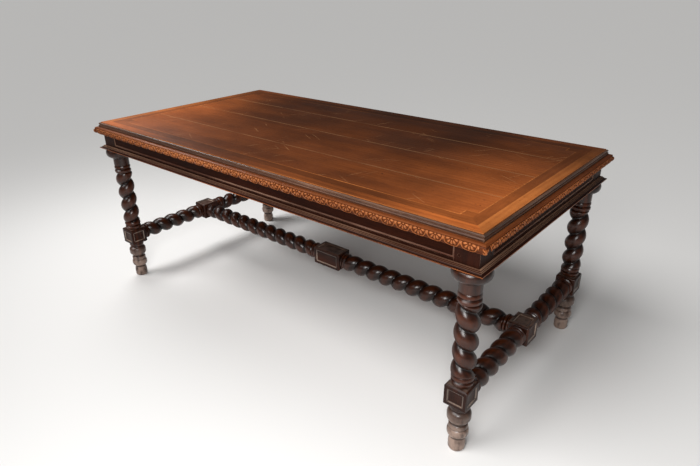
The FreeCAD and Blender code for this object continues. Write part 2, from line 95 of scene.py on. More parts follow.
# Steps and columns of round stretches, and angles in degrees above which an edge stays sharp
ARC_STEPS = 7
LATHE_COLUMNS = 64
TWIST_COLUMNS = 48
TWIST_ROWS_PER_TURN = 32
TURNED_SHARP = 35.0
MOULDED_SHARP = 25.0
CARVED_SHARP = 40.0

# Finishes along the swept outlines of the edge and of the base moulding, one for each of their lines
# On the edge, finish 3 paints a highlight on the arris; on the base, finish 2 paints light on the upward
# ledges and finish 0 a highlight on the lip
EDGE_FINISHES = [2, 1, 2, 2] + [1] * ARC_STEPS + [2, 3, 0, 0, 0]
BASE_FINISHES = [0] + [1] * ARC_STEPS + [2, 1, 2, 1, 2, 1, 1]

# Shade and wear stored on points, from 0 in a hollow, which gets painted shade, to 1 on a crest, which gets
# rubbed wear and painted highlight
BLOCK_SHADE_AND_WEAR = 0.6
CAPITAL_SHADE_AND_WEAR = 0.6
TURNED_SHADE_AND_WEAR = 0.75
COLLAR_SHADE_AND_WEAR = 1.0
MOULDED_SHADE_AND_WEAR = 0.7
CARVED_BACK_SHADE_AND_WEAR = 0.4
CARVED_BAND_SHADE_AND_WEAR = 0.35
HOLLOW_SHARE = 0.45

# Turned work: room for the crest inside its end limit, rounding of the neck's foot
CREST_ROOM = 1.02
NECK_ROUND = 0.06
NECK_BOW = 0.2

# Blocks: share of the bevel that a panel's margin leaves out, angle of an edge that is worn soft
MARGIN_BEVEL = 0.35
WORN_ANGLE = 0.3

# Carved strips: turns of the ground in degrees, its steps, how far the row reaches into the mitres
GROUND_TURNS = (-84, 86)
GROUND_STEPS = 28
ROW_REACH = 0.7

# Lunette, as shares of its pitch, or of the carving's span or depth where the name says so
RIM_RADIUS = 0.455
RIM_POINTS = 15
RIM_SPAN = 0.93
RIM_BEAD_DEPTH = 0.58
RIM_LIFT_DEPTH = 0.35
ROW_SPAN = 0.96
FAN_RADIUS = 0.245
FAN_PETALS = 5
FAN_GAP = 0.20
FAN_SQUASH = 0.92
PETAL_SIZE = (0.080, 0.165)
PETAL_TAPER = 0.35

# Hub and dart of a lunette: place across and up, half width, half length, height as a share of the depth
LOBES = (
    (0.0, -0.03, 0.085, 0.065, 0.95),
    (0.5, -0.13, 0.055, 0.170, 1.00),
)

# Corner leaf lobes: distance from the mitre, height and length as shares, turn, width
LEAF = (
    (-0.02, 0.42, 0.44, 0.0, 0.13),
    (-0.20, 0.62, 0.26, 0.75, 0.11),
    (-0.17, 0.28, 0.22, 0.95, 0.10),
)
LEAF_DEPTH = 0.95

# Textures of the woods along and across the grain, in cycles per metre
FIGURE = (1.3, 15.0)
FIBRES = (26.0, 700.0)
PORES = (38.0, 1150.0)
BLOTCHES = (2.6, 5.0)
RINGS = (0.10, 1.0)

# Textures apart from the grain along X, Y and Z, in cycles per metre
CLOUDS = (3.4, 5.6, 1.0)
RUBBED_PATCHES = (55.0, 55.0, 55.0)
SEAM_PATCHES = (9.0, 60.0, 1.0)
SCRATCHED_PATCHES = (7.0, 7.0, 7.0)
SPECKS = (90.0, 120.0, 90.0)
DUST_PATCHES = (40.0, 40.0, 22.0)
RUST_SPOTS = (900.0, 900.0, 900.0)

# Scratches: turn of their run, stretch of their texture
SCRATCHES = ((0.5, (3.0, 260.0, 1.0)), (-0.9, (4.0, 330.0, 1.0)), (1.9, (5.0, 300.0, 1.0)))

# Reach of the wear, of the painted light on the top and of the painted shade in corners, in metres: where it
# starts and where it is full, or how far it reaches
PAINTED_LIGHT_ENDS = (0.42, 0.92)
PAINTED_LIGHT_FRONT = (0.42, -0.42)
PALE_SEAM = (0.0034, 0.0014)
DARK_SEAM = (0.0009, 0.0003)
DUSTY_FOOT = (0.185, 0.06)
DUSTY_TOE = (0.050, 0.042)
EDGE_RADIUS = 0.0016
HOLLOW_REACH = 0.010
GRAIN_RELIEF = 0.0004
RUST_RELIEF = 0.0002

# Way in which a wood's textures move from piece to piece
SHIFT_WAY = (1.0, 1.7, 0.6)

# Polishes, and amounts of painted light over the top, that several pieces share
TOP_POLISH = {"rough": 0.46, "sheen": 0.06}
TURNED_POLISH = {"rough": 0.44, "coat": 0.75, "sheen": 0.02}
COAT_ROUGHNESS = 0.28
TOP_PAINTED_LIGHT = 1.6
LONG_BORDER_PAINTED_LIGHT = 2.1
END_BORDER_PAINTED_LIGHT = -0.1
STRING_PAINTED_LIGHT = 0.9

# Dark, middle and light level of the plain inner wood
INNER_LEVELS = (0.55, 1.0, 1.4)

# Stage: half side of the floor, camera sensor in millimetres, how far the camera sees
FLOOR_REACH = 60.0
SENSOR = 36.0
FAR_END = 200.0

# Lamps: kind, place, aim, size in metres or angle of the sun
LAMPS = {
    "key": ("SUN", (-2.0, -3.5, 5.0), (0.0, 0.0, 0.0), math.radians(35)),
    "front_box": ("AREA", (1.35, -2.05, 1.55), (0.5, -0.2, 0.35), 1.0),
    "top_box": ("AREA", (-1.50, -0.15, 1.60), (-0.95, -0.12, 0.76), 0.8),
}


# Settings


def length(name, description, default):
    """A length setting, in metres."""
    return bpy.props.FloatProperty(
        name=name, description=description, default=default, unit="LENGTH", precision=4
    )


def share(name, description, default):
    """A setting without a unit."""
    return bpy.props.FloatProperty(name=name, description=description, default=default)


def angle(name, description, default):
    """An angle setting, in degrees here and in radians in the panel's data."""
    return bpy.props.FloatProperty(
        name=name, description=description, default=math.radians(default), subtype="ANGLE"
    )


def place(name, description, default):
    """A place setting, in metres."""
    return bpy.props.FloatVectorProperty(
        name=name, description=description, default=default, subtype="TRANSLATION"
    )


def colour(name, description, default):
    """A colour setting, linear."""
    return bpy.props.FloatVectorProperty(
        name=name, description=description, default=default, subtype="COLOR", min=0, max=1
    )


class TableSizes(bpy.types.PropertyGroup):
    """Sizes of the finished surfaces; places come from the joinery itself."""

    block_side: length("Block side", "Side of the square blocks", 0.075)
    block_bevel: length("Block bevel", "Bevel at the ends of a block", 0.004)
    panel_margin: length("Panel margin", "Edge of a block to its sunk panel", 0.0115)
    panel_slope: length("Panel slope", "Width of the sloped rim of a sunk panel", 0.0045)
    panel_depth: length("Panel depth", "Depth of a sunk panel", 0.0036)
    soft_edge: length("Soft edge", "Rounding of worn block edges", 0.0009)
    foot_height: length("Foot height", "Floor to the underside of a block", 0.175)
    block_height: length("Block height", "Height of a leg's block", 0.075)
    leg_collar: length("Leg collar", "Length of a collar on a leg", 0.036)
    neck_height: length("Neck height", "Length of the neck under a capital", 0.032)
    neck_radius: length("Neck radius", "Radius of the neck", 0.033)
    crest_radius: length("Crest radius", "Radius of the twist over its strand", 0.037)
    core_radius: length("Core radius", "Radius of the twist in its hollow", 0.024)
    strand_sink: length("Strand sink", "How far the strand's section starts below the core", 0.0015)
    strand_gap: length("Strand gap", "Width of the bare core between two turns", 0.001)
    shoulder: length("Shoulder", "Length over which a twist draws in at its ends", 0.014)
    end_share: share("End share", "Radius of a twist at its ends, of the crest radius", 0.84)
    leg_pitch: length("Leg pitch", "Rise of the leg twist in one turn", 0.064)
    stretcher_pitch: length("Stretcher pitch", "Rise of the stretcher twist in one turn", 0.065)
    stretcher_collar: length("Stretcher collar", "Length of a collar on a stretcher", 0.025)
    end_block: length("End block", "Length of an end stretcher's block", 0.087)
    centre_block: length("Centre block", "Length of the centre stretcher's block", 0.146)
    border_width: length("Border width", "Width of the bright border of the top", 0.035)
    top_thickness: length("Top thickness", "Thickness of the top", 0.020)
    edge_out: length("Edge projection", "Moulded edge beyond the flat of the top", 0.008)
    carved_out: length("Carved projection", "Carved strip beyond the apron", 0.030)
    base_out: length("Base projection", "Base moulding beyond the apron", 0.020)
    lunette_pitch: length("Lunette pitch", "Width of one lunette, about", 0.050)
    carving_depth: length("Carving depth", "Ground of the carving below its crests", 0.0034)
    carving_foot: angle("Carving foot", "Where the carving starts on the round, from level", -62.0)
    carving_turn: angle("Carving turn", "How far the carving goes round", 108.0)
    corner_leaf: length("Corner leaf", "Length of a strip's end kept for its leaf", 0.016)


class TableTones(bpy.types.PropertyGroup):
    """Colours of the woods and of the stage."""

    plank_dark: colour("Plank dark", "Dark figure of the planks", (0.062, 0.015, 0.0035))
    plank_mid: colour("Plank middle", "Middle tone of the planks", (0.112, 0.029, 0.006))
    plank_light: colour("Plank light", "Light figure of the planks", (0.180, 0.052, 0.012))
    border_dark: colour("Border dark", "Dark figure of the border", (0.220, 0.060, 0.012))
    border_mid: colour("Border middle", "Middle tone of the border", (0.375, 0.114, 0.027))
    border_light: colour("Border light", "Light figure of the border", (0.480, 0.168, 0.042))
    edge_dark: colour("Edge dark", "Dark lines of the moulded edge", (0.022, 0.008, 0.004))
    edge_mid: colour("Edge middle", "Middle tone of the moulded edge", (0.085, 0.037, 0.021))
    # The edge's light tone also paints the light on the base moulding's upward ledges
    edge_light: colour("Edge light", "Rubbed greyer parts of the moulded edge", (0.270, 0.150, 0.095))
    band_dark: colour("Band dark", "Dark figure of the inlaid band", (0.050, 0.013, 0.003))
    band_mid: colour("Band middle", "Middle tone of the inlaid band", (0.080, 0.021, 0.0045))
    band_light: colour("Band light", "Light figure of the inlaid band", (0.120, 0.034, 0.008))
    string_tone: colour("String", "String line between band and field", (0.620, 0.330, 0.150))
    # Carving tones: the dark one is also laid in the hollows as painted shade, the light one on the crests
    # as rubbed wear and painted highlight
    carved_dark: colour("Carved dark", "Hollows of the carving", (0.085, 0.019, 0.0045))
    carved_mid: colour("Carved middle", "Middle tone of the carving", (0.205, 0.048, 0.0105))
    carved_light: colour("Carved light", "Rubbed crests of the carving", (0.500, 0.178, 0.060))
    apron_dark: colour("Apron dark", "Dark figure of the apron", (0.009, 0.0025, 0.0012))
    apron_mid: colour("Apron middle", "Middle tone of the apron", (0.026, 0.0052, 0.0020))
    apron_light: colour("Apron light", "Worn edges of the apron", (0.048, 0.0115, 0.0045))
    apron_rub: colour("Apron rub", "Rubbed lines of the apron and its mouldings", (0.230, 0.130, 0.088))
    fascia_tone: colour("Fascia", "Brown flat of the moulded edge", (0.120, 0.040, 0.016))
    # The lip's copper tone is a painted highlight
    lip_tone: colour("Lip", "Copper tone of the base moulding's lip", (0.170, 0.046, 0.017))
    # Turned tones: the dark one is also laid in the hollows as painted shade, the light one on the crests as
    # rubbed wear and painted highlight
    turned_dark: colour("Turned dark", "Hollows of the turned work", (0.004, 0.0013, 0.0008))
    turned_mid: colour("Turned middle", "Middle tone of the turned work", (0.018, 0.0042, 0.0014))
    turned_light: colour("Turned light", "Rubbed crests of the turned work", (0.080, 0.0185, 0.0055))
    # The pale rim tone is a painted highlight on the sloped panel rims, and is rubbed onto the blocks' edges
    # as wear and painted highlight
    rim_tone: colour("Panel rim", "Rubbed rims of the sunk panels", (0.330, 0.235, 0.175))
    inner_tone: colour("Inner wood", "Plain wood under the top", (0.160, 0.085, 0.042))
    dust_tone: colour("Dust", "Scuffed grey of the feet", (0.285, 0.200, 0.158))
    floor_tone: colour("Floor", "Floor of the stage", (0.800, 0.790, 0.775))


class TableStage(bpy.types.PropertyGroup):
    """Camera and light."""

    camera_place: place("Camera place", "Where the camera stands", (1.4940, -1.6468, 1.3518))
    azimuth: angle("Azimuth", "Turn of the camera round the table", 40.122)
    elevation: angle("Elevation", "How far the camera looks down", 24.855)
    roll: angle("Roll", "Lean of the camera", -0.568)
    lens: share("Lens", "Focal length in millimetres on a 36 mm sensor", 29.08)
    sky: share("Sky", "Strength of the even light", 0.14)
    sun: share("Sun", "Strength of the soft key light", 1.9)
    front_box: share("Front light", "Power of the soft light beside the camera", 46.0)
    top_box: share("Top light", "Power of the soft light over the left end", 14.0)


# Node trees


class Net:
    """A node tree with short ways to add and link its nodes."""

    def __init__(self, tree):
        self.tree = tree

    def node(self, kind, inputs=None, **settings):
        """Add a node; an input is linked or set."""
        made = self.tree.nodes.new(kind)
        for key, value in settings.items():
            setattr(made, key, value)
        for key, value in (inputs or {}).items():
            if isinstance(value, bpy.types.NodeSocket):
                self.tree.links.new(value, made.inputs[key])
            else:
                made.inputs[key].default_value = value
        return made

    def result(self, kind, inputs=None, **settings):
        """Add a node and give its first output."""
        return self.node(kind, inputs, **settings).outputs[0]

    def math(self, operation, *values):
        """Arithmetic on numbers."""
        return self.result("ShaderNodeMath", dict(enumerate(values)), operation=operation)

    def times(self, first, *others):
        """Product of numbers."""
        for other in others:
            first = self.math("MULTIPLY", first, other)
        return first

    def plus(self, first, second):
        """Sum of two numbers."""
        return self.math("ADD", first, second)

    def minus(self, first, second):
        """Difference of two numbers."""
        return self.math("SUBTRACT", first, second)

    def over(self, first, second):
        """Quotient of two numbers."""
        return self.math("DIVIDE", first, second)

    def vector(self, operation, *values):
        """Arithmetic on vectors."""
        made = self.node("ShaderNodeVectorMath", dict(enumerate(values)), operation=operation)
        return made.outputs[1 if operation == "DOT_PRODUCT" else 0]

    def ranged(self, value, low, high, to_low=0.0, to_high=1.0, kind="SMOOTHSTEP"):
        """Carry a number from one range to another, clamped."""
        inputs = {0: value, 1: low, 2: high, 3: to_low, 4: to_high}
        return self.result("ShaderNodeMapRange", inputs, interpolation_type=kind)

    def mix(self, amount, first, second, blend="MIX"):
        """Mix two colours."""
        inputs = {0: amount, 6: first, 7: second}
        return self.node("ShaderNodeMix", inputs, data_type="RGBA", blend_type=blend).outputs[2]

    def noise(self, where, stretch, detail, roughness=0.5, distortion=0.0):
        """Noise between 0 and 1, stretched."""
        inputs = {
            "Vector": self.vector("MULTIPLY", where, stretch), "Scale": 1.0, "Detail": detail,
            "Roughness": roughness, "Distortion": distortion,
        }
        return self.result("ShaderNodeTexNoise", inputs)

    def joined(self, *values):
        """Vector of three numbers."""
        return self.result("ShaderNodeCombineXYZ", dict(enumerate(values)))

    def split(self, value):
        """The three numbers of a vector."""
        return self.node("ShaderNodeSeparateXYZ", {0: value}).outputs


# Woods


def rgba(tone, level=1.0):
    """A colour setting as four numbers."""
    return tuple(level * part for part in tone) + (1.0,)


def browns(tones, kind):
    """Dark, middle and light tone of a wood."""
    return [getattr(tones, f"{kind}_{depth}") for depth in ("dark", "mid", "light")]


def grain_of(side):
    """Axis of the grain of a piece at a side of the table."""
    return "X" if side in LONG_SIDES else "Y"


def new_material(name):
    """A material without nodes, and the net to add them with."""
    material = bpy.data.materials.new(name)
    material.use_nodes = True
    material.node_tree.nodes.clear()
    return material, Net(material.node_tree)


def end_material(net, tone, rough, height, strength, relief, constants):
    """End a material with its relief and its shader."""
    bump = net.result("ShaderNodeBump", {"Strength": strength, "Distance": relief, "Height": height})
    inputs = {"Base Color": tone, "Roughness": rough, "Normal": bump, **constants}
    skin = net.result("ShaderNodeBsdfPrincipled", inputs)
    net.node("ShaderNodeOutputMaterial", {"Surface": skin})


class Wood:
    """A polished wood, laid on in layers: its figure, then its wear with painted light and shade, then the
    polish.
    """

    def __init__(self, name, colours, way, shift):
        self.material, self.net = new_material(name)
        self.dark, self.mid, self.light = colours
        self.way = way
        self.where = self.net.node("ShaderNodeTexCoord").outputs["Object"]
        self.moved = self.net.vector("ADD", self.where, tuple(shift * part for part in SHIFT_WAY))
        self.tone = rgba(self.dark)
        self.worn = None

    def grain(self, texture):
        """Stretch of a texture that follows the grain."""
        along, across = texture
        return tuple(along if axis == self.way else across for axis in "XYZ")

    def tint(self, amount, tone, level=1.0):
        """Lay a colour over the tone."""
        self.tone = self.net.mix(amount, self.tone, rgba(tone, level))

    def dull(self, amount, added):
        """Make the surface rougher."""
        self.rough = self.net.plus(self.rough, self.net.times(amount, added))

    def lay_figure(self, rough, figured, faded):
        """Figure, rings, fibres, pores and blotches, with painted light over the top when it is asked for.
        """
        net = self.net
        self.figure = net.noise(self.moved, self.grain(FIGURE), 5.0, 0.58, 0.6)
        fibre = net.noise(self.moved, self.grain(FIBRES), 3.0, 0.6)
        pore = net.ranged(net.noise(self.moved, self.grain(PORES), 1.0), 0.60, 0.74)
        blotch = net.noise(self.moved, self.grain(BLOTCHES), 3.0, 0.55)
        ring = net.node(
            "ShaderNodeTexWave",
            {"Vector": net.vector("MULTIPLY", self.moved, self.grain(RINGS)), "Scale": 17.0,
             "Distortion": 5.5, "Detail": 3.0, "Detail Scale": 1.2, "Detail Roughness": 0.55},
            wave_type="BANDS", bands_direction="X" if self.way == "Y" else "Y",
        ).outputs["Fac"]
        self.tint(net.ranged(self.figure, 0.34, 0.66, 0.5 - 0.5 * figured, 0.5 + 0.5 * figured), self.mid)
        lighter = net.times(net.ranged(ring, 0.35, 0.95), net.ranged(self.figure, 0.35, 0.75))
        self.tint(net.times(lighter, 0.55 * figured), self.light)
        self.tint(net.ranged(ring, 0.30, 0.05, 0.0, 0.35 * figured), self.dark)
        self.tint(net.ranged(fibre, 0.35, 0.70, 0.0, 0.10 + 0.18 * figured), self.light)
        self.tint(net.times(pore, 0.55), self.dark, 0.45)
        shade = net.ranged(blotch, 0.25, 0.75, 1.0 - 0.28 * figured, 1.0 + 0.22 * figured)
        # Painted light and shade over the top, multiplied into the tone
        if faded:
            shade = net.times(shade, self.painted_light_level(faded))
        self.tone = net.mix(1.0, self.tone, net.joined(shade, shade, shade), "MULTIPLY")
        self.rough = net.ranged(blotch, 0.3, 0.7, rough - 0.06, rough + 0.08)
        self.height = net.minus(net.times(fibre, 0.4), net.times(pore, 0.6))

    def painted_light_level(self, faded):
        """Painted light and shade over the top: the ends changed by the given amount, lighter to the front
        and darker to the back, times a random cloud of tone.
        """
        net = self.net
        spot = net.split(self.where)
        ends = net.ranged(net.math("ABSOLUTE", spot["X"]), *PAINTED_LIGHT_ENDS, 1.0, 1.0 + faded)
        front = net.ranged(spot["Y"], *PAINTED_LIGHT_FRONT, 0.50, 1.42)
        cloud = net.ranged(net.noise(self.where, CLOUDS, 4.0), 0.3, 0.7, 0.72, 1.26)
        return net.times(net.times(ends, front), cloud)

    def shade_hollows_light_crests(self, amount):
        """Painted shade in the hollows, and crests lighter as rubbed wear and painted highlight, by the
        number stored on the points.
        """
        net = self.net
        self.worn = net.node("ShaderNodeAttribute", attribute_name="worn").outputs["Fac"]
        # Painted shade, darkest in the hollows
        painted_hollow_shade = net.ranged(self.worn, 0.0, 0.65, 0.90, 0.0)
        self.tint(painted_hollow_shade, self.dark, 0.8)
        # Crests lighter: rubbed wear and painted highlight
        crest = net.ranged(self.worn, 0.70, 1.0)
        self.tint(net.times(crest, net.ranged(self.figure, 0.3, 0.7, 0.25, 1.0), amount), self.light)
        self.dull(painted_hollow_shade, 0.22)

    def rub_edges(self, amount, rub):
        """Rubbed edges, lighter as wear, and painted shade in the corners, found by occlusion."""
        net = self.net
        bent = net.result("ShaderNodeBevel", {"Radius": EDGE_RADIUS}, samples=4)
        straight = net.node("ShaderNodeNewGeometry").outputs["Normal"]
        edge = net.ranged(net.vector("DOT_PRODUCT", bent, straight), 0.985, 0.82)
        hollow = net.node("ShaderNodeAmbientOcclusion", {"Distance": HOLLOW_REACH}, samples=4)
        occlusion_shade = net.ranged(hollow.outputs["AO"], 0.90, 0.30)
        patch = net.ranged(net.noise(self.moved, RUBBED_PATCHES, 3.0), 0.30, 0.62)
        self.tint(net.times(edge, patch, amount, net.minus(1.0, occlusion_shade)), rub or self.light, 1.25)
        # Painted shade in corners and crevices, from the occlusion
        self.tint(net.times(occlusion_shade, 0.75), self.dark, 0.5)
        self.dull(occlusion_shade, 0.25)

    def draw_seams(self, lines, pale):
        """Dark seams along X with pale, broken borders."""
        net = self.net
        patch = net.ranged(net.noise(self.where, SEAM_PATCHES, 4.0), 0.22, 0.56)
        for line in lines:
            across = net.math("ABSOLUTE", net.minus(net.split(self.where)["Y"], line))
            self.tint(net.times(net.ranged(across, *PALE_SEAM), patch, 0.32), *pale)
            self.tint(net.ranged(across, *DARK_SEAM, 0.0, 0.85), self.dark, 0.3)

    def scratch(self, amount, pale):
        """Fine scratches in three ways, and dark specks."""
        net = self.net
        for turn, stretch in SCRATCHES:
            inputs = {"Vector": self.moved, "Angle": turn}
            turned = net.result("ShaderNodeVectorRotate", inputs, rotation_type="Z_AXIS")
            thin = net.ranged(net.noise(turned, stretch, 1.0), 0.735, 0.76)
            few = net.ranged(net.noise(turned, SCRATCHED_PATCHES, 1.0), 0.52, 0.62)
            mark = net.times(thin, few, amount)
            self.tint(mark, *pale)
            self.dull(mark, 0.2)
        speck = net.ranged(net.noise(self.moved, SPECKS, 2.0), 0.70, 0.75)
        self.tint(net.times(speck, 0.7), self.dark, 0.35)

    def gather_dust(self, dust, lying):
        """Grey scuffs low on the table and on upward faces, but not in the grooves of turned work."""
        net = self.net
        facing = net.split(net.node("ShaderNodeNewGeometry").outputs["Normal"])["Z"]
        high = net.split(self.where)["Z"]
        low = net.math("MAXIMUM", net.ranged(facing, 0.70, 1.0, 0.0, lying), net.ranged(high, *DUSTY_FOOT))
        grey = net.times(low, net.ranged(net.noise(self.moved, DUST_PATCHES, 4.0), 0.24, 0.58))
        if self.worn is not None:
            bare = net.ranged(self.worn, 0.44, 0.58, 0.15, 1.0)
            grey = net.times(grey, net.math("MAXIMUM", bare, net.ranged(high, *DUSTY_TOE)))
        self.tint(net.times(grey, 0.92), dust)
        self.dull(grey, 0.2)

    def polish(self, coat, sheen):
        """End the material."""
        constants = {"Specular IOR Level": sheen, "Coat Weight": coat, "Coat Roughness": COAT_ROUGHNESS}
        end_material(self.net, self.tone, self.rough, self.height, 0.35, GRAIN_RELIEF, constants)
        return self.material


def wood(name, colours, way, shift=0.0, rough=0.36, coat=0.0, sheen=0.35, figured=1.0, faded=0.0, crests=0.0,
         edges=0.0, rub=None, seams=(), scratches=0.0, dust=None, lying=0.0):
    """Material of a wood in its dark, middle and light colour, with the wear and the painted light and shade
    that are asked for.
    """
    made = Wood(name, colours, way, shift)
    made.lay_figure(rough, figured, faded)
    if crests:
        made.shade_hollows_light_crests(crests)
    if edges:
        made.rub_edges(edges, rub)
    pale = (rub, 1.0) if rub else (made.light, 2.0)
    if seams:
        made.draw_seams(seams, pale)
    if scratches:
        made.scratch(scratches, pale)
    if dust is not None:
        made.gather_dust(dust, lying)
    return made.polish(coat, sheen)


def steel():
    """Dull steel of the screws."""
    material, net = new_material("screw_steel")
    spots = net.noise(net.node("ShaderNodeTexCoord").outputs["Object"], RUST_SPOTS, 4.0)
    tone = net.mix(net.ranged(spots, 0.4, 0.7), (0.34, 0.33, 0.31, 1.0), (0.12, 0.08, 0.06, 1.0))
    rough = net.ranged(spots, 0.3, 0.7, 0.35, 0.65)
    end_material(net, tone, rough, spots, 0.3, RUST_RELIEF, {"Metallic": 1.0})
    return material


def finish_node(name, material):
    """Give a kept piece of the joinery its finish."""
    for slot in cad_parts[name].material_slots:
        slot.material = material


def finish_wood(name, colours, way, **finish):
    """Give a kept piece of the joinery a wood of its own."""
    finish_node(name, wood(name, colours, way, **finish))


# Shells


class Shell:
    """Points and faces of closed shells, with a number of shade and wear per point and a finish number per
    face.
    """

    def __init__(self):
        self.points = []
        self.faces = []
        self.worn = []
        self.finish = []

    def add(self, points, faces, worn, finish=0):
        """Add one shell."""
        first = len(self.points)
        self.points += [Vector(point) for point in points]
        self.faces += [[first + index for index in face] for face in faces]
        self.worn += list(worn)
        self.finish += [finish] * len(faces)
        return self

    def join(self, other, matrix=None):
        """Add another shell, moved; a mirroring move turns its faces round."""
        matrix = matrix or Matrix.Identity(4)
        first = len(self.points)
        self.points += [matrix @ point for point in other.points]
        for face in other.faces:
            indices = [first + index for index in face]
            self.faces.append(indices[::-1] if matrix.determinant() < 0 else indices)
        self.worn += other.worn
        self.finish += other.finish
        return self

    def mesh(self, name):
        """A mesh of the shells that holds their number of shade and wear."""
        mesh = bpy.data.meshes.new(name)
        mesh.from_pydata(self.points, [], self.faces)
        mesh.attributes.new("worn", "FLOAT", "POINT").data.foreach_set("value", self.worn)
        return mesh

    def piece(self, name, materials, nodes, slot, sharp=TURNED_SHARP):
        """Make the object, in place of its joinery nodes."""
        mesh = self.mesh(name)
        for material in materials:
            mesh.materials.append(material)
        mesh.polygons.foreach_set("material_index", self.finish)
        mesh.shade_smooth()
        mesh.set_sharp_from_angle(angle=math.radians(sharp))
        mesh.update()
        return settle(bpy.data.objects.new(name, mesh), nodes)


def settle(piece, nodes):
    """Put a finished piece in the frame."""
    bpy.context.scene.collection.objects.link(piece)
    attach(piece, "root")
    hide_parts(*nodes)
    return piece


def quarter_turn(quarter):
    """Turn from the front to a side."""
    return Matrix.Rotation(math.pi / 2 * quarter, 4, "Z")


def bowed(points):
    """Open line through points, bowed parts rounded; a point is two numbers and the bow share before it."""
    line = [Vector(points[0][:2])]
    for start, (first, second, bow) in zip(points, points[1:]):
        begin = Vector(start[:2])
        end = Vector((first, second))
        chord = end - begin
        if bow == 0:
            line.append(end)
            continue
        way = chord.normalized()
        out = Vector((way.y, -way.x)) * (1 if bow > 0 else -1)
        rise = abs(bow) * chord.length
        radius = (chord.length ** 2 / 4 + rise ** 2) / (2 * rise)
        half = math.asin(min(1.0, chord.length / 2 / radius))
        for step in range(1, ARC_STEPS + 1):
            turn = half * (2 * step / ARC_STEPS - 1)
            along = chord.length / 2 + radius * math.sin(turn)
            line.append(begin + way * along + out * (radius * math.cos(turn) - radius + rise))
    return line


def scaled(shares, across, foot, height):
    """A table of shares at its sizes."""
    return [(first * across, foot + second * height, bow) for first, second, bow in shares]


def moulding_line(shares, out, foot, height):
    """Outer line of a moulding as (inset, height)."""
    points = [(first, second, -bow) for first, second, bow in scaled(shares, out, foot, height)]
    return [(-first, second) for first, second in bowed(points)]


def lathe(shell, points, worn=TURNED_SHADE_AND_WEAR):
    """Turn a bowed line of (radius, height) about Z into a closed shell."""
    line = bowed(points)
    columns = LATHE_COLUMNS
    rings = []
    for radius, high in line:
        for column in range(columns):
            turn = 2 * math.pi * column / columns
            rings.append((radius * math.cos(turn), radius * math.sin(turn), high))
    faces = []
    for row in range(len(line) - 1):
        low, high = row * columns, (row + 1) * columns
        for column in range(columns):
            beside = (column + 1) % columns
            faces.append([low + column, low + beside, high + beside, high + column])
    last = (len(line) - 1) * columns
    faces.append(list(range(columns))[::-1])
    faces.append(list(range(last, last + columns)))
    radii = [radius for radius, high in line]
    slim = min(radii)
    spread = max(radii) - slim or 1.0
    marks = []
    for radius in radii:
        marks += [worn * (HOLLOW_SHARE + (1 - HOLLOW_SHARE) * (radius - slim) / spread)] * columns
    return shell.add(rings, faces, marks)


def sweep(shell, line, half_length, half_out, quarter, worn=None, finishes=None):
    """Mitred moulding at a side, from a closed section of (inset, height) with a finish for each line."""
    turn = quarter_turn(quarter)
    points = []
    for way in (-1, 1):
        for inset, high in line:
            points.append(turn @ Vector((way * (half_length - inset), inset - half_out, high)))
    count = len(line)
    faces = []
    for index in range(count):
        after = (index + 1) % count
        faces.append([index, count + index, count + after, after])
    faces.append(list(range(count)))
    faces.append(list(range(count, 2 * count))[::-1])
    area = sum(
        line[index - 1][0] * line[index][1] - line[index][0] * line[index - 1][1]
        for index in range(count)
    )
    if area > 0:
        faces = [face[::-1] for face in faces]
    shell.add(points, faces, (worn or [MOULDED_SHADE_AND_WEAR] * count) * 2)
    if finishes:
        shell.finish[-len(faces):] = finishes + [finishes[0]] * (len(faces) - len(finishes))
    return shell


def block(shell, sizes, long, foot, panels, finish=1):
    """Square block on Z with bevelled ends and sunk panels on the faces named by their ways."""
    half, bevel = sizes.block_side / 2, sizes.block_bevel
    rows = (
        (half - bevel, foot), (half, foot + bevel), (half, foot + long - bevel), (half - bevel, foot + long),
    )
    signs = ((1, -1), (1, 1), (-1, 1), (-1, -1))
    drawn = bmesh.new()
    rings = []
    for side, high in rows:
        rings.append([drawn.verts.new((x * side, y * side, high)) for x, y in signs])
    drawn.faces.new(rings[0][::-1])
    drawn.faces.new(rings[-1])
    flats = {}
    for row, (low, high) in enumerate(zip(rings, rings[1:])):
        for column, way in enumerate(((1, 0), (0, 1), (-1, 0), (0, -1))):
            beside = (column + 1) % 4
            face = drawn.faces.new([low[column], low[beside], high[beside], high[column]])
            if row == 1:
                flats[way] = face
    drawn.normal_update()
    for face in drawn.faces:
        face.material_index = finish
    margin = sizes.panel_margin - bevel * MARGIN_BEVEL
    for way in panels:
        field = [flats[way]]
        bmesh.ops.inset_region(drawn, faces=field, thickness=margin, use_even_offset=True)
        rim = bmesh.ops.inset_region(
            drawn, faces=field, thickness=sizes.panel_slope, depth=-sizes.panel_depth, use_even_offset=True
        )["faces"]
        for face in rim:
            face.material_index = finish + 1
    drawn.normal_update()
    sharp = [edge for edge in drawn.edges if edge.calc_face_angle(0.0) > WORN_ANGLE]
    bmesh.ops.bevel(drawn, geom=sharp, offset=sizes.soft_edge, segments=2, profile=0.5, affect="EDGES")
    drawn.verts.index_update()
    points = [vertex.co.copy() for vertex in drawn.verts]
    faces = [[vertex.index for vertex in face.verts] for face in drawn.faces]
    kinds = [face.material_index for face in drawn.faces]
    drawn.free()
    shell.add(points, faces, [BLOCK_SHADE_AND_WEAR] * len(points))
    shell.finish[-len(kinds):] = kinds
    return shell


# Geometry by rules


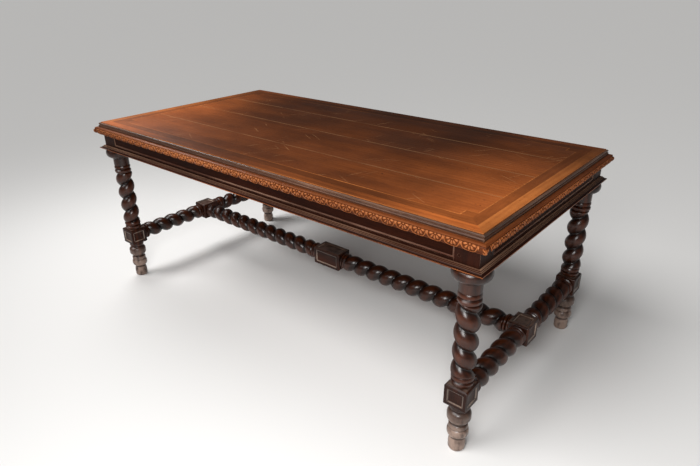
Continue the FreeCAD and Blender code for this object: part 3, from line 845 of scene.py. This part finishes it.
def made_by(tree, start, values):
    """Run a node tree on a mesh and give back the plain mesh."""
    carrier = bpy.data.objects.new("carrier", start)
    bpy.context.scene.collection.objects.link(carrier)
    modifier = carrier.modifiers.new("rule", "NODES")
    modifier.node_group = tree
    for item in tree.interface.items_tree:
        if item.item_type == "SOCKET" and item.in_out == "INPUT" and item.name in values:
            modifier[item.identifier] = values[item.name]
    carrier.update_tag()
    graph = bpy.context.evaluated_depsgraph_get()
    mesh = bpy.data.meshes.new_from_object(carrier.evaluated_get(graph), depsgraph=graph)
    carrier.modifiers.remove(modifier)
    bpy.data.objects.remove(carrier)
    return mesh


def new_tree(name, numbers, counts):
    """A geometry tree with named inputs: its net and the inputs."""
    tree = bpy.data.node_groups.new(name, "GeometryNodeTree")
    inputs = [("Geometry", "NodeSocketGeometry")]
    inputs += [(label, "NodeSocketFloat") for label in numbers]
    inputs += [(label, "NodeSocketInt") for label in counts]
    inputs += [("Material", "NodeSocketMaterial")]
    for label, kind in inputs:
        tree.interface.new_socket(label, in_out="INPUT", socket_type=kind)
    tree.interface.new_socket("Geometry", in_out="OUTPUT", socket_type="NodeSocketGeometry")
    net = Net(tree)
    return net, net.node("NodeGroupInput").outputs


def end_tree(net, geometry, given):
    """Realize, set the material and end a geometry tree."""
    real = net.result("GeometryNodeRealizeInstances", {"Geometry": geometry})
    painted = net.result("GeometryNodeSetMaterial", {"Geometry": real, "Material": given["Material"]})
    net.node("NodeGroupOutput", {"Geometry": painted})
    return net.tree


def twist_tree():
    """One round strand wound round a core."""
    numbers = (
        "Length", "Pitch", "Crest Radius", "Core Radius", "Strand Sink", "Strand Gap", "Hand",
        "Start", "Shoulder", "End Share",
    )
    net, given = new_tree("Barley twist", numbers, ("Columns", "Rows"))
    crest, core, long, pitch = (given[label] for label in ("Crest Radius", "Core Radius", "Length", "Pitch"))
    bar = net.result(
        "GeometryNodeMeshCylinder",
        {"Vertices": given["Columns"], "Side Segments": given["Rows"], "Radius": 1.0, "Depth": 1.0},
        fill_type="NGON",
    )
    spot = net.split(net.result("GeometryNodeInputPosition"))
    around = net.math("ARCTAN2", spot["Y"], spot["X"])
    high = net.times(net.plus(spot["Z"], 0.5), long)

    # Strand: an arc over the pitch that rises from below the core
    axial = net.times(net.over(around, 2 * math.pi), pitch)
    half = net.times(net.minus(pitch, given["Strand Gap"]), 0.5)
    rise = net.plus(net.minus(crest, core), given["Strand Sink"])
    squares = net.plus(net.times(half, half), net.times(rise, rise))
    bow = net.over(squares, net.times(rise, 2.0))
    under = net.minus(net.times(bow, bow), net.times(axial, axial))
    arc = net.math("SQRT", net.math("MAXIMUM", under, 0.0))
    strand = net.plus(net.minus(crest, bow), arc)
    radius = net.math("MAXIMUM", strand, core)

    # Shoulders that draw the twist in at its ends
    near_end = net.math("MINIMUM", high, net.minus(long, high))
    inward = net.minus(1.0, net.ranged(near_end, 0.0, given["Shoulder"], kind="LINEAR"))
    round_end = net.math("SQRT", net.minus(1.0, net.times(inward, inward)))
    narrow = net.times(crest, given["End Share"])
    wide = net.times(crest, CREST_ROOM)
    limit = net.math("MULTIPLY_ADD", round_end, net.minus(wide, narrow), narrow)
    radius = net.math("MINIMUM", radius, limit)

    # Winding
    turns = net.plus(net.over(high, pitch), given["Start"])
    turn = net.math("MULTIPLY_ADD", net.times(turns, 2 * math.pi), given["Hand"], around)
    there = net.joined(
        net.times(radius, net.math("COSINE", turn)), net.times(radius, net.math("SINE", turn)), high
    )
    worn = net.over(net.minus(radius, core), net.minus(crest, core))
    marked = net.result("GeometryNodeStoreNamedAttribute", {"Geometry": bar, "Name": "worn", "Value": worn})
    wound = net.result("GeometryNodeSetPosition", {"Geometry": marked, "Position": there})
    return end_tree(net, wound, given)


def twist(shell, sizes, long, pitch, hand, foot, start=0.0):
    """Add a twist on Z, standing on a height."""
    values = {
        "Length": long, "Pitch": pitch, "Crest Radius": sizes.crest_radius,
        "Core Radius": sizes.core_radius, "Strand Sink": sizes.strand_sink,
        "Strand Gap": sizes.strand_gap, "Hand": float(hand), "Start": start, "Shoulder": sizes.shoulder,
        "End Share": sizes.end_share, "Columns": TWIST_COLUMNS,
        "Rows": round(TWIST_ROWS_PER_TURN * long / pitch),
    }
    tree = bpy.data.node_groups.get("Barley twist") or twist_tree()
    mesh = made_by(tree, bpy.data.meshes.new("twist"), values)
    points = [vertex.co + Vector((0, 0, foot)) for vertex in mesh.vertices]
    faces = [list(face.vertices) for face in mesh.polygons]
    worn = [item.value for item in mesh.attributes["worn"].data]
    bpy.data.meshes.remove(mesh)
    return shell.add(points, faces, worn)


def lunette_tree():
    """A row of carved lunettes with corner leaves, laid on the round of a moulding."""
    numbers = (
        "Pitch", "Depth", "Span", "Half Length", "Half Out", "Arc Radius", "Foot Angle",
        "Centre Out", "Centre Up",
    )
    net, given = new_tree("Lunettes", numbers, ("Count",))
    pitch, depth, span, around = (given[label] for label in ("Pitch", "Depth", "Span", "Arc Radius"))

    def part(share_of, whole):
        return net.times(whole, share_of)

    def moved(geometry, **moves):
        return net.result("GeometryNodeTransform", {"Geometry": geometry, **moves})

    def real(instances):
        return net.result("GeometryNodeRealizeInstances", {"Geometry": instances})

    def together(*pieces):
        whole = net.node("GeometryNodeJoinGeometry")
        for piece in pieces:
            net.tree.links.new(piece, whole.inputs[0])
        return whole.outputs[0]

    def half_round(points, radius, gap):
        inputs = {
            "Resolution": points, "Radius": radius, "Start Angle": math.pi + gap,
            "Sweep Angle": math.pi - 2 * gap,
        }
        return net.result("GeometryNodeCurveArc", inputs, mode="RADIUS")

    def lobe(across, along, high, x, y, turn=0.0):
        return moved(
            petal, Translation=net.joined(x, y, 0.0), Rotation=(0.0, 0.0, turn),
            Scale=net.joined(across, along, high),
        )

    def laid(geometry, end):
        """Lay flat work on the round; an end other than 0 measures along from that mitre."""
        flat = net.split(net.result("GeometryNodeInputPosition"))
        worn = net.over(flat["Z"], depth)
        inputs = {"Geometry": geometry, "Name": "worn", "Value": worn}
        kept = net.result("GeometryNodeStoreNamedAttribute", inputs)
        tilt = net.plus(given["Foot Angle"], net.over(flat["Y"], around))
        reach = net.plus(net.minus(around, depth), flat["Z"])
        out = net.math("MULTIPLY_ADD", reach, net.math("COSINE", tilt), given["Centre Out"])
        high = net.math("MULTIPLY_ADD", reach, net.math("SINE", tilt), given["Centre Up"])
        limit = net.plus(given["Half Length"], out)
        along = net.math("MULTIPLY_ADD", limit, float(end), flat["X"])
        along = net.math("MINIMUM", along, limit)
        along = net.math("MAXIMUM", along, net.times(limit, -1.0))
        there = net.joined(along, net.times(net.plus(given["Half Out"], out), -1.0), high)
        return net.result("GeometryNodeSetPosition", {"Geometry": kept, "Position": there})

    # Petal: a ball that is slimmer at one end
    ball = net.result("GeometryNodeMeshUVSphere", {"Segments": 8, "Rings": 6, "Radius": 1.0})
    spot = net.split(net.result("GeometryNodeInputPosition"))
    slim = net.times(spot["X"], net.math("MULTIPLY_ADD", spot["Y"], PETAL_TAPER, 1.0))
    inputs = {"Geometry": ball, "Position": net.joined(slim, spot["Y"], spot["Z"])}
    petal = net.result("GeometryNodeSetPosition", inputs)

    # Rim of one lunette, open at the top
    rim_radius = part(RIM_RADIUS, pitch)
    drop = net.over(part(RIM_SPAN, span), rim_radius)
    bend = moved(half_round(RIM_POINTS, rim_radius, 0.0), Scale=net.joined(1.0, drop, 1.0))
    inputs = {"Resolution": 6, "Radius": part(RIM_BEAD_DEPTH, depth)}
    bead = net.result("GeometryNodeCurvePrimitiveCircle", inputs)
    inputs = {"Curve": bend, "Profile Curve": bead, "Fill Caps": True}
    rim = net.result("GeometryNodeCurveToMesh", inputs)
    rim = moved(rim, Translation=net.joined(0.0, 0.0, part(RIM_LIFT_DEPTH, depth)))

    # Petals that spread from the middle of the top, the hub and the dart
    place_now = net.result("GeometryNodeInputPosition")
    inputs = {
        "Points": half_round(FAN_PETALS, part(FAN_RADIUS, pitch), FAN_GAP), "Instance": petal,
        "Rotation": net.result("FunctionNodeAlignRotationToVector", {"Vector": place_now}, axis="Y"),
        "Scale": net.joined(*(part(size, pitch) for size in PETAL_SIZE), depth),
    }
    petals = real(net.result("GeometryNodeInstanceOnPoints", inputs))
    petals = moved(petals, Scale=net.joined(1.0, part(FAN_SQUASH, drop), 1.0))
    lobes = []
    for across, up, wide, long, high in LOBES:
        sizes = (part(wide, pitch), part(long, pitch), part(high, depth))
        lobes.append(lobe(*sizes, part(across, pitch), part(up, pitch)))
    lunette = together(rim, petals, *lobes)

    # Row of lunettes
    first = net.times(net.minus(given["Count"], 1.0), part(-0.5, pitch))
    inputs = {
        "Count": given["Count"], "Start Location": net.joined(first, part(ROW_SPAN, span), 0.0),
        "Offset": net.joined(pitch, 0.0, 0.0),
    }
    row = net.result("GeometryNodeMeshLine", inputs, mode="OFFSET")
    units = real(net.result("GeometryNodeInstanceOnPoints", {"Points": row, "Instance": lunette}))

    # Half leaves at the mitres
    pieces = [given["Geometry"], laid(units, 0)]
    for end in (-1, 1):
        leaf = []
        for beside, high, long, turn, across in LEAF:
            sizes = (part(across, span), part(long, span), part(LEAF_DEPTH, depth))
            leaf.append(lobe(*sizes, part(end * beside, span), part(high, span), end * turn))
        pieces.append(laid(together(*leaf), end))
    smooth = net.result("GeometryNodeSetShadeSmooth", {"Geometry": together(*pieces)})
    return end_tree(net, smooth, given)


def carved_ground(sizes, radius, middle, foot, head):
    """Section of a strip before its lunettes, sunk where they lie, and the number of shade and wear of its
    points.
    """
    begin, end = (math.radians(turn) for turn in GROUND_TURNS)
    top = sizes.carving_foot + sizes.carving_turn
    line, worn = [(0.0, foot)], [CARVED_BACK_SHADE_AND_WEAR]
    for number in range(GROUND_STEPS + 1):
        turn = begin + (end - begin) * number / GROUND_STEPS
        sunk = number > 0 and turn < top
        reach = radius - sunk * sizes.carving_depth
        line.append((-middle.x - reach * math.cos(turn), middle.y + reach * math.sin(turn)))
        worn.append(0.0 if sunk else CARVED_BAND_SHADE_AND_WEAR)
    return line + [(0.0, head)], worn + [CARVED_BACK_SHADE_AND_WEAR]


# Turned pieces


def turned_woods(tones, name, way, shift):
    """Woods of a turned piece: its turnings, its blocks and the rims of their panels."""
    dark_brown = browns(tones, "turned")
    # The turnings get painted shade in their hollows, and rubbed wear with painted highlight on their crests
    turned = wood(
        name + "_turned", dark_brown, way, shift=shift, crests=0.5, dust=tones.dust_tone, **TURNED_POLISH
    )
    # The blocks' edges are rubbed with the pale rim tone, as wear and painted highlight
    square = wood(
        name + "_block", dark_brown, way, shift=shift, rough=0.42, coat=0.20, sheen=0.06, edges=0.9,
        rub=tones.rim_tone, dust=tones.dust_tone, lying=0.30,
    )
    # The sloped rims of the sunk panels take the pale rim tone as a painted highlight
    rim_highlight_browns = [tones.turned_mid, tones.rim_tone, tones.rim_tone]
    rim = wood(name + "_rim", rim_highlight_browns, way, shift=shift, rough=0.34, coat=0.3, sheen=0.5)
    return [turned, square, rim]


def flipped(level):
    """Mirror at the floor, then rise to a level."""
    return Matrix.Translation((0, 0, level)) @ Matrix.Scale(-1, 4, (0, 0, 1))


def collar(shell, sizes, long, foot):
    """Collar on Z, standing on a height."""
    return lathe(shell, scaled(COLLAR, sizes.crest_radius, foot, long), COLLAR_SHADE_AND_WEAR)


def stretcher(sizes, block_length, reach, panels):
    """Stretcher on Z: a block in the middle, its halves of opposite hands."""
    start = block_length / 2
    twist_foot = start + sizes.stretcher_collar
    twist_length = reach - sizes.stretcher_collar - twist_foot
    half = collar(Shell(), sizes, sizes.stretcher_collar, start)
    twist(half, sizes, twist_length, sizes.stretcher_pitch, -1, twist_foot)
    half.join(collar(Shell(), sizes, sizes.stretcher_collar, 0.0), flipped(reach))
    whole = block(Shell(), sizes, block_length, -start, panels)
    return whole.join(half).join(half, flipped(0))


def leg_axis(corner):
    """Middle of a capital, which stands on the leg's axis."""
    low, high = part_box("capital_" + corner)
    return (low + high) / 2


def side_sizes(node, side, projection):
    """Half length along a side, half distance out to the face behind a moulding, its foot and head."""
    low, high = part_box(node)
    along, out = (high.x, max(-low.y, high.y)) if side in LONG_SIDES else (high.y, max(-low.x, high.x))
    return along - projection, out - projection, low.z, high.z


# Operators, one for each group of like pieces


class TABLE_OT_top(bpy.types.Operator):
    """Finish the planks, bands and string line of the top"""

    bl_idname = "table.top"
    bl_label = "Top planks and inlay"

    def execute(self, context):
        tones = context.scene.table_tones
        # Planks, bands and string line: painted light at the ends and to the front, painted shade to the
        # back
        for number in range(PLANKS):
            node = f"field_plank_{number + 1}"
            low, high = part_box(node)
            lines = [line for line, inner in ((low.y, number > 0), (high.y, number < PLANKS - 1)) if inner]
            finish_wood(
                node, browns(tones, "plank"), "X", shift=1.9 * number, rough=0.44, sheen=0.06, figured=0.35,
                faded=TOP_PAINTED_LIGHT, rub=tones.string_tone, seams=lines, scratches=0.5,
            )
        band = browns(tones, "band")
        inlay = {"figured": 0.4, "faded": TOP_PAINTED_LIGHT, "edges": 0.2, **TOP_POLISH}
        for side in SIDES:
            finish_wood("top_band_" + side, band, grain_of(side), shift=3.1, scratches=0.4, **inlay)
        finish_wood("band_corners", band, "X", shift=5.3, **inlay)
        pale = [tones.plank_mid, tones.plank_light, tones.border_light]
        finish_wood("string_line", pale, "X", shift=2.2, faded=STRING_PAINTED_LIGHT, **TOP_POLISH)
        return {"FINISHED"}


class TABLE_OT_border(bpy.types.Operator):
    """Build the moulded border of the top"""

    bl_idname = "table.border"
    bl_label = "Top border"

    def execute(self, context):
        sizes, tones = context.scene.table_sizes, context.scene.table_tones
        for side, quarter in SIDES.items():
            node = "top_border_" + side
            half, out, foot, head = side_sizes(node, side, sizes.edge_out)
            foot = head - sizes.top_thickness
            line = moulding_line(EDGE, sizes.edge_out, foot, sizes.top_thickness)
            line += [(sizes.border_width, head), (sizes.border_width, foot)]
            way = grain_of(side)
            bright = browns(tones, "border")
            # Painted light: the long borders lighter at their ends, the end borders a little darker; all
            # lighter to the front and darker to the back
            flat_browns, faded = bright, END_BORDER_PAINTED_LIGHT
            if side in LONG_SIDES:
                flat_browns = [tones.plank_dark, tones.plank_mid, tones.border_dark]
                faded = LONG_BORDER_PAINTED_LIGHT
            flat = wood(
                node, flat_browns, way, shift=0.7 + quarter, figured=0.5, faded=faded, edges=0.7,
                rub=tones.border_mid, scratches=0.3, **TOP_POLISH,
            )
            edge = wood(
                node + "_edge", browns(tones, "edge"), way, shift=1.4 + quarter, sheen=0.25, figured=0.8
            )
            fascia = wood(
                node + "_fascia", [tones.edge_dark, tones.fascia_tone, tones.edge_mid], way,
                shift=2.4 + quarter, rough=0.40, sheen=0.20, figured=0.8, edges=0.9, rub=tones.edge_light,
            )
            # The arris takes the bright border tones as a painted highlight along the top's edge
            arris_highlight = wood(node + "_arris", bright, way, shift=3.4 + quarter, sheen=0.30, figured=0.8)
            woods = [flat, edge, fascia, arris_highlight]
            shell = sweep(Shell(), line, half, out, quarter, finishes=EDGE_FINISHES)
            shell.piece("border_" + side, woods, [node], "border_walnut", sharp=MOULDED_SHARP)
        return {"FINISHED"}


class TABLE_OT_carving(bpy.types.Operator):
    """Build the carved strips with their lunettes"""

    bl_idname = "table.carving"
    bl_label = "Carved strips"

    def execute(self, context):
        sizes, tones = context.scene.table_sizes, context.scene.table_tones
        tree = lunette_tree()
        for side, quarter in SIDES.items():
            node = "carved_strip_" + side
            half, out, foot, head = side_sizes(node, side, sizes.carved_out)
            radius = (head - foot) / 2
            middle = Vector((sizes.carved_out - radius, foot + radius))
            line, worn = carved_ground(sizes, radius, middle, foot, head)
            ground = sweep(Shell(), line, half, out, 0, worn)
            # Painted shade in the sunk ground, and rubbed wear with painted highlight on the crests of the
            # lunettes
            material = wood(
                node, browns(tones, "carved"), grain_of(side), shift=0.4 + quarter, rough=0.40, coat=0.12,
                sheen=0.04, figured=0.7, crests=0.85,
            )
            row = 2 * (half + ROW_REACH * sizes.carved_out - sizes.corner_leaf)
            count = round(row / sizes.lunette_pitch)
            carved = made_by(tree, ground.mesh("ground"), {
                "Pitch": row / count, "Depth": sizes.carving_depth, "Span": radius * sizes.carving_turn,
                "Half Length": half, "Half Out": out, "Arc Radius": radius,
                "Foot Angle": sizes.carving_foot, "Centre Out": middle.x,
                "Centre Up": middle.y, "Count": count, "Material": material,
            })
            carved.transform(quarter_turn(quarter))
            carved.set_sharp_from_angle(angle=math.radians(CARVED_SHARP))
            carved.name = "carving_" + side
            settle(bpy.data.objects.new("carving_" + side, carved), [node])
        return {"FINISHED"}


class TABLE_OT_apron(bpy.types.Operator):
    """Finish the apron rails, posts, beads and pegs"""

    bl_idname = "table.apron"
    bl_label = "Apron"

    def execute(self, context):
        tones = context.scene.table_tones
        apron = browns(tones, "apron")
        bead = [tones.apron_light, tones.apron_rub, tones.apron_rub]
        for number, side in enumerate(SIDES):
            way = grain_of(side)
            finish_wood(
                "apron_rail_" + side, apron, way, shift=1.3 * number, rough=0.48, sheen=0.04, figured=0.7,
                edges=0.4, rub=tones.apron_rub,
            )
            finish_wood("panel_bead_" + side, bead, way, shift=0.8 * number, rough=0.40, sheen=0.2)
        for number, corner in enumerate(CORNERS):
            finish_wood(
                "post_" + corner, apron, "Z", shift=0.9 * number, rough=0.46, sheen=0.08, figured=0.7,
                edges=0.6, rub=tones.apron_rub,
            )
        pegs = wood("peg_wood", apron, "Y", rough=0.5, sheen=0.06, figured=0.7)
        finish_node("apron_pegs", pegs)
        finish_node("stretcher_pegs", pegs)
        return {"FINISHED"}


class TABLE_OT_base(bpy.types.Operator):
    """Build the base mouldings under the apron"""

    bl_idname = "table.base"
    bl_label = "Base mouldings"

    def execute(self, context):
        sizes, tones = context.scene.table_sizes, context.scene.table_tones
        for side, quarter in SIDES.items():
            node = "base_moulding_" + side
            half, out, foot, head = side_sizes(node, side, sizes.base_out)
            line = moulding_line(BASE, sizes.base_out, foot, head - foot)
            line += [(0.0, head), (0.0, foot)]
            way = grain_of(side)
            # The lip's copper tone is a painted highlight along the foot of the moulding; its edges are
            # lighter still
            lip = wood(
                node + "_lip", [tones.apron_mid, tones.lip_tone, tones.border_mid], way,
                shift=0.5 + quarter, rough=0.38, sheen=0.15, edges=0.9,
            )
            hollow = wood(node, browns(tones, "apron"), way, shift=1.5 + quarter, rough=0.42, sheen=0.12)
            # The upward ledges take the edge's light grey as painted light from above; the risers keep the
            # apron's tone
            ledge_painted_light = wood(
                node + "_fillet", [tones.edge_mid, tones.edge_light, tones.edge_light], way,
                shift=2.5 + quarter, sheen=0.2, figured=0.8,
            )
            woods = [lip, hollow, ledge_painted_light]
            shell = sweep(Shell(), line, half, out, quarter, finishes=BASE_FINISHES)
            shell.piece("base_" + side, woods, [node], "moulding_walnut", sharp=MOULDED_SHARP)
        return {"FINISHED"}


class TABLE_OT_capitals(bpy.types.Operator):
    """Build the bun capitals"""

    bl_idname = "table.capitals"
    bl_label = "Capitals"

    def execute(self, context):
        tones = context.scene.table_tones
        material = wood(
            "capital_walnut", browns(tones, "turned"), "Z", shift=0.6, crests=0.1, **TURNED_POLISH
        )
        for corner in CORNERS:
            node = "capital_" + corner
            low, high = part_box(node)
            axis = leg_axis(corner)
            bun = scaled(CAPITAL, (high.x - low.x) / 2, low.z, high.z - low.z)
            shell = lathe(Shell(), bun, CAPITAL_SHADE_AND_WEAR)
            moved = Shell().join(shell, Matrix.Translation((axis.x, axis.y, 0.0)))
            moved.piece("bun_" + corner, [material], [node], "turned_walnut")
        return {"FINISHED"}


class TABLE_OT_legs(bpy.types.Operator):
    """Build the four legs"""

    bl_idname = "table.legs"
    bl_label = "Legs"

    def execute(self, context):
        sizes, tones = context.scene.table_sizes, context.scene.table_tones
        capital_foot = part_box("capital_front_left")[0].z
        block_top = sizes.foot_height + sizes.block_height
        neck_foot = capital_foot - sizes.neck_height
        twist_foot = block_top + sizes.leg_collar
        twist_length = neck_foot - sizes.leg_collar - twist_foot
        plain = lathe(Shell(), scaled(FOOT, sizes.block_side / 2, 0.0, sizes.foot_height))
        block(plain, sizes, sizes.block_height, sizes.foot_height, ((1, 0), (-1, 0), (0, -1)))
        collar(plain, sizes, sizes.leg_collar, block_top)
        plain.join(collar(Shell(), sizes, sizes.leg_collar, 0.0), flipped(neck_foot))
        rounded = NECK_ROUND * sizes.neck_radius
        lathe(plain, [
            (sizes.neck_radius - rounded, neck_foot, 0.0),
            (sizes.neck_radius, neck_foot + rounded, NECK_BOW),
            (sizes.neck_radius, capital_foot, 0.0),
        ])
        for number, (corner, (x, y, start)) in enumerate(CORNERS.items()):
            leg = Shell().join(plain)
            twist(leg, sizes, twist_length, sizes.leg_pitch, 1, twist_foot, start)
            axis = leg_axis(corner)
            move = Matrix.Translation((axis.x, axis.y, 0.0)) @ Matrix.Diagonal((-x, -y, 1.0, 1.0))
            materials = turned_woods(tones, "leg_" + corner, "Z", 1.1 * number)
            whole = Shell().join(leg, move)
            whole.piece("twist_leg_" + corner, materials, ["leg_" + corner], "turned_walnut")
        return {"FINISHED"}


class TABLE_OT_stretchers(bpy.types.Operator):
    """Build the end stretchers and the centre stretcher"""

    bl_idname = "table.stretchers"
    bl_label = "Stretchers"

    def execute(self, context):
        sizes, tones = context.scene.table_sizes, context.scene.table_tones
        leg = leg_axis("back_right")
        half_block = sizes.block_side / 2
        level = sizes.foot_height + sizes.block_height / 2
        for number, (side, sign) in enumerate((("left", -1), ("right", 1))):
            shell = stretcher(sizes, sizes.end_block, leg.y - half_block, ((sign, 0), (0, -1)))
            move = Matrix.Translation((sign * leg.x, 0, level)) @ Matrix.Rotation(-math.pi / 2, 4, "X")
            materials = turned_woods(tones, "end_" + side, "Y", 2.3 + number)
            node = "end_stretcher_" + side
            Shell().join(shell, move).piece("twist_end_" + side, materials, [node], "turned_walnut")
        shell = stretcher(sizes, sizes.centre_block, leg.x - half_block, ((-1, 0), (0, 1), (0, -1)))
        move = Matrix.Translation((0, 0, level)) @ Matrix.Rotation(math.pi / 2, 4, "Y")
        materials = turned_woods(tones, "centre", "X", 4.7)
        Shell().join(shell, move).piece("twist_centre", materials, ["centre_stretcher"], "turned_walnut")
        return {"FINISHED"}


class TABLE_OT_joinery(bpy.types.Operator):
    """Finish the bearers, buttons and screws under the top"""

    bl_idname = "table.joinery"
    bl_label = "Inner joinery"

    def execute(self, context):
        tone = context.scene.table_tones.inner_tone
        inner = [[level * part for part in tone] for level in INNER_LEVELS]
        plain = wood("inner_wood", inner, "Y", rough=0.6, edges=0.4)
        for node in ("cross_bearer_left", "cross_bearer_right", "top_buttons"):
            finish_node(node, plain)
        finish_node("button_screws", steel())
        return {"FINISHED"}


class TABLE_OT_stage(bpy.types.Operator):
    """Set the floor, the camera and the lights"""

    bl_idname = "table.stage"
    bl_label = "Stage"

    def execute(self, context):
        scene, given = context.scene, context.scene.table_stage
        self.lay_floor(scene)
        self.set_camera(scene, given)
        for name, power in (("key", given.sun), ("front_box", given.front_box), ("top_box", given.top_box)):
            self.hang_lamp(scene, name, power)
        world = bpy.data.worlds.new("even_light")
        world.use_nodes = True
        sky = world.node_tree.nodes["Background"].inputs
        sky["Color"].default_value = (1.0, 1.0, 1.0, 1.0)
        sky["Strength"].default_value = given.sky
        scene.world = world
        scene.view_settings.view_transform = "Standard"
        return {"FINISHED"}

    def lay_floor(self, scene):
        """A pale, dull floor."""
        reach = FLOOR_REACH
        corners = ((-reach, -reach), (reach, -reach), (reach, reach), (-reach, reach))
        mesh = bpy.data.meshes.new("floor")
        mesh.from_pydata([(x, y, 0.0) for x, y in corners], [], [(0, 1, 2, 3)])
        floor = bpy.data.objects.new("floor", mesh)
        scene.collection.objects.link(floor)
        paint = bpy.data.materials.new("floor_paint")
        paint.use_nodes = True
        skin = paint.node_tree.nodes["Principled BSDF"].inputs
        skin["Base Color"].default_value = rgba(scene.table_tones.floor_tone)
        skin["Roughness"].default_value = 0.85
        skin["Specular IOR Level"].default_value = 0.15
        mesh.materials.append(paint)

    def set_camera(self, scene, given):
        """A camera that looks down on the table from its place, turned and leaning."""
        sine, cosine = math.sin(given.azimuth), math.cos(given.azimuth)
        level = math.cos(given.elevation)
        back = Vector((sine * level, -cosine * level, math.sin(given.elevation)))
        right = Vector((cosine, sine, 0.0))
        up = back.cross(right)
        leaning = right * math.cos(given.roll) + up * math.sin(given.roll)
        upward = up * math.cos(given.roll) - right * math.sin(given.roll)
        turn = Matrix((leaning, upward, back)).transposed().to_4x4()
        camera = bpy.data.objects.new("camera", bpy.data.cameras.new("camera"))
        camera.data.lens = given.lens
        camera.data.sensor_width = SENSOR
        camera.data.clip_end = FAR_END
        camera.matrix_world = Matrix.Translation(given.camera_place) @ turn
        scene.collection.objects.link(camera)
        scene.camera = camera

    def hang_lamp(self, scene, name, power):
        """One of the lamps, at its power."""
        kind, where, aim, size = LAMPS[name]
        data = bpy.data.lights.new(name, kind)
        data.energy = power
        if kind == "SUN":
            data.angle = size
        else:
            data.shape = "DISK"
            data.size = size
        lamp = bpy.data.objects.new(name, data)
        lamp.location = where
        lamp.rotation_mode = "QUATERNION"
        lamp.rotation_quaternion = (Vector(aim) - Vector(where)).to_track_quat("-Z", "Y")
        scene.collection.objects.link(lamp)


class TABLE_PT_panel(bpy.types.Panel):
    """Sidebar panel with the steps and settings of the table"""

    bl_label = "Barley-twist table"
    bl_idname = "TABLE_PT_panel"
    bl_space_type = "VIEW_3D"
    bl_region_type = "UI"
    bl_category = "Table"

    def draw(self, context):
        for step in STEPS:
            self.layout.operator(step.bl_idname)
        for label, kind in SETTINGS.items():
            column = self.layout.box().column()
            for key in kind.__annotations__:
                column.prop(getattr(context.scene, label), key)


STEPS = (
    TABLE_OT_top, TABLE_OT_border, TABLE_OT_carving, TABLE_OT_apron, TABLE_OT_base, TABLE_OT_capitals,
    TABLE_OT_legs, TABLE_OT_stretchers, TABLE_OT_joinery, TABLE_OT_stage,
)
SETTINGS = {"table_sizes": TableSizes, "table_tones": TableTones, "table_stage": TableStage}


def register():
    """Register the settings, the steps and the panel."""
    for label, kind in SETTINGS.items():
        bpy.utils.register_class(kind)
        setattr(bpy.types.Scene, label, bpy.props.PointerProperty(type=kind))
    for step in STEPS + (TABLE_PT_panel,):
        bpy.utils.register_class(step)


def unregister():
    """Take them back."""
    for step in (TABLE_PT_panel,) + STEPS[::-1]:
        bpy.utils.unregister_class(step)
    for label, kind in SETTINGS.items():
        delattr(bpy.types.Scene, label)
        bpy.utils.unregister_class(kind)


def main():
    """Build every piece in order."""
    register()
    bpy.ops.table.top()
    bpy.ops.table.border()
    bpy.ops.table.carving()
    bpy.ops.table.apron()
    bpy.ops.table.base()
    bpy.ops.table.capitals()
    bpy.ops.table.legs()
    bpy.ops.table.stretchers()
    bpy.ops.table.joinery()
    bpy.ops.table.stage()


if __name__ == "__main__":
    main()
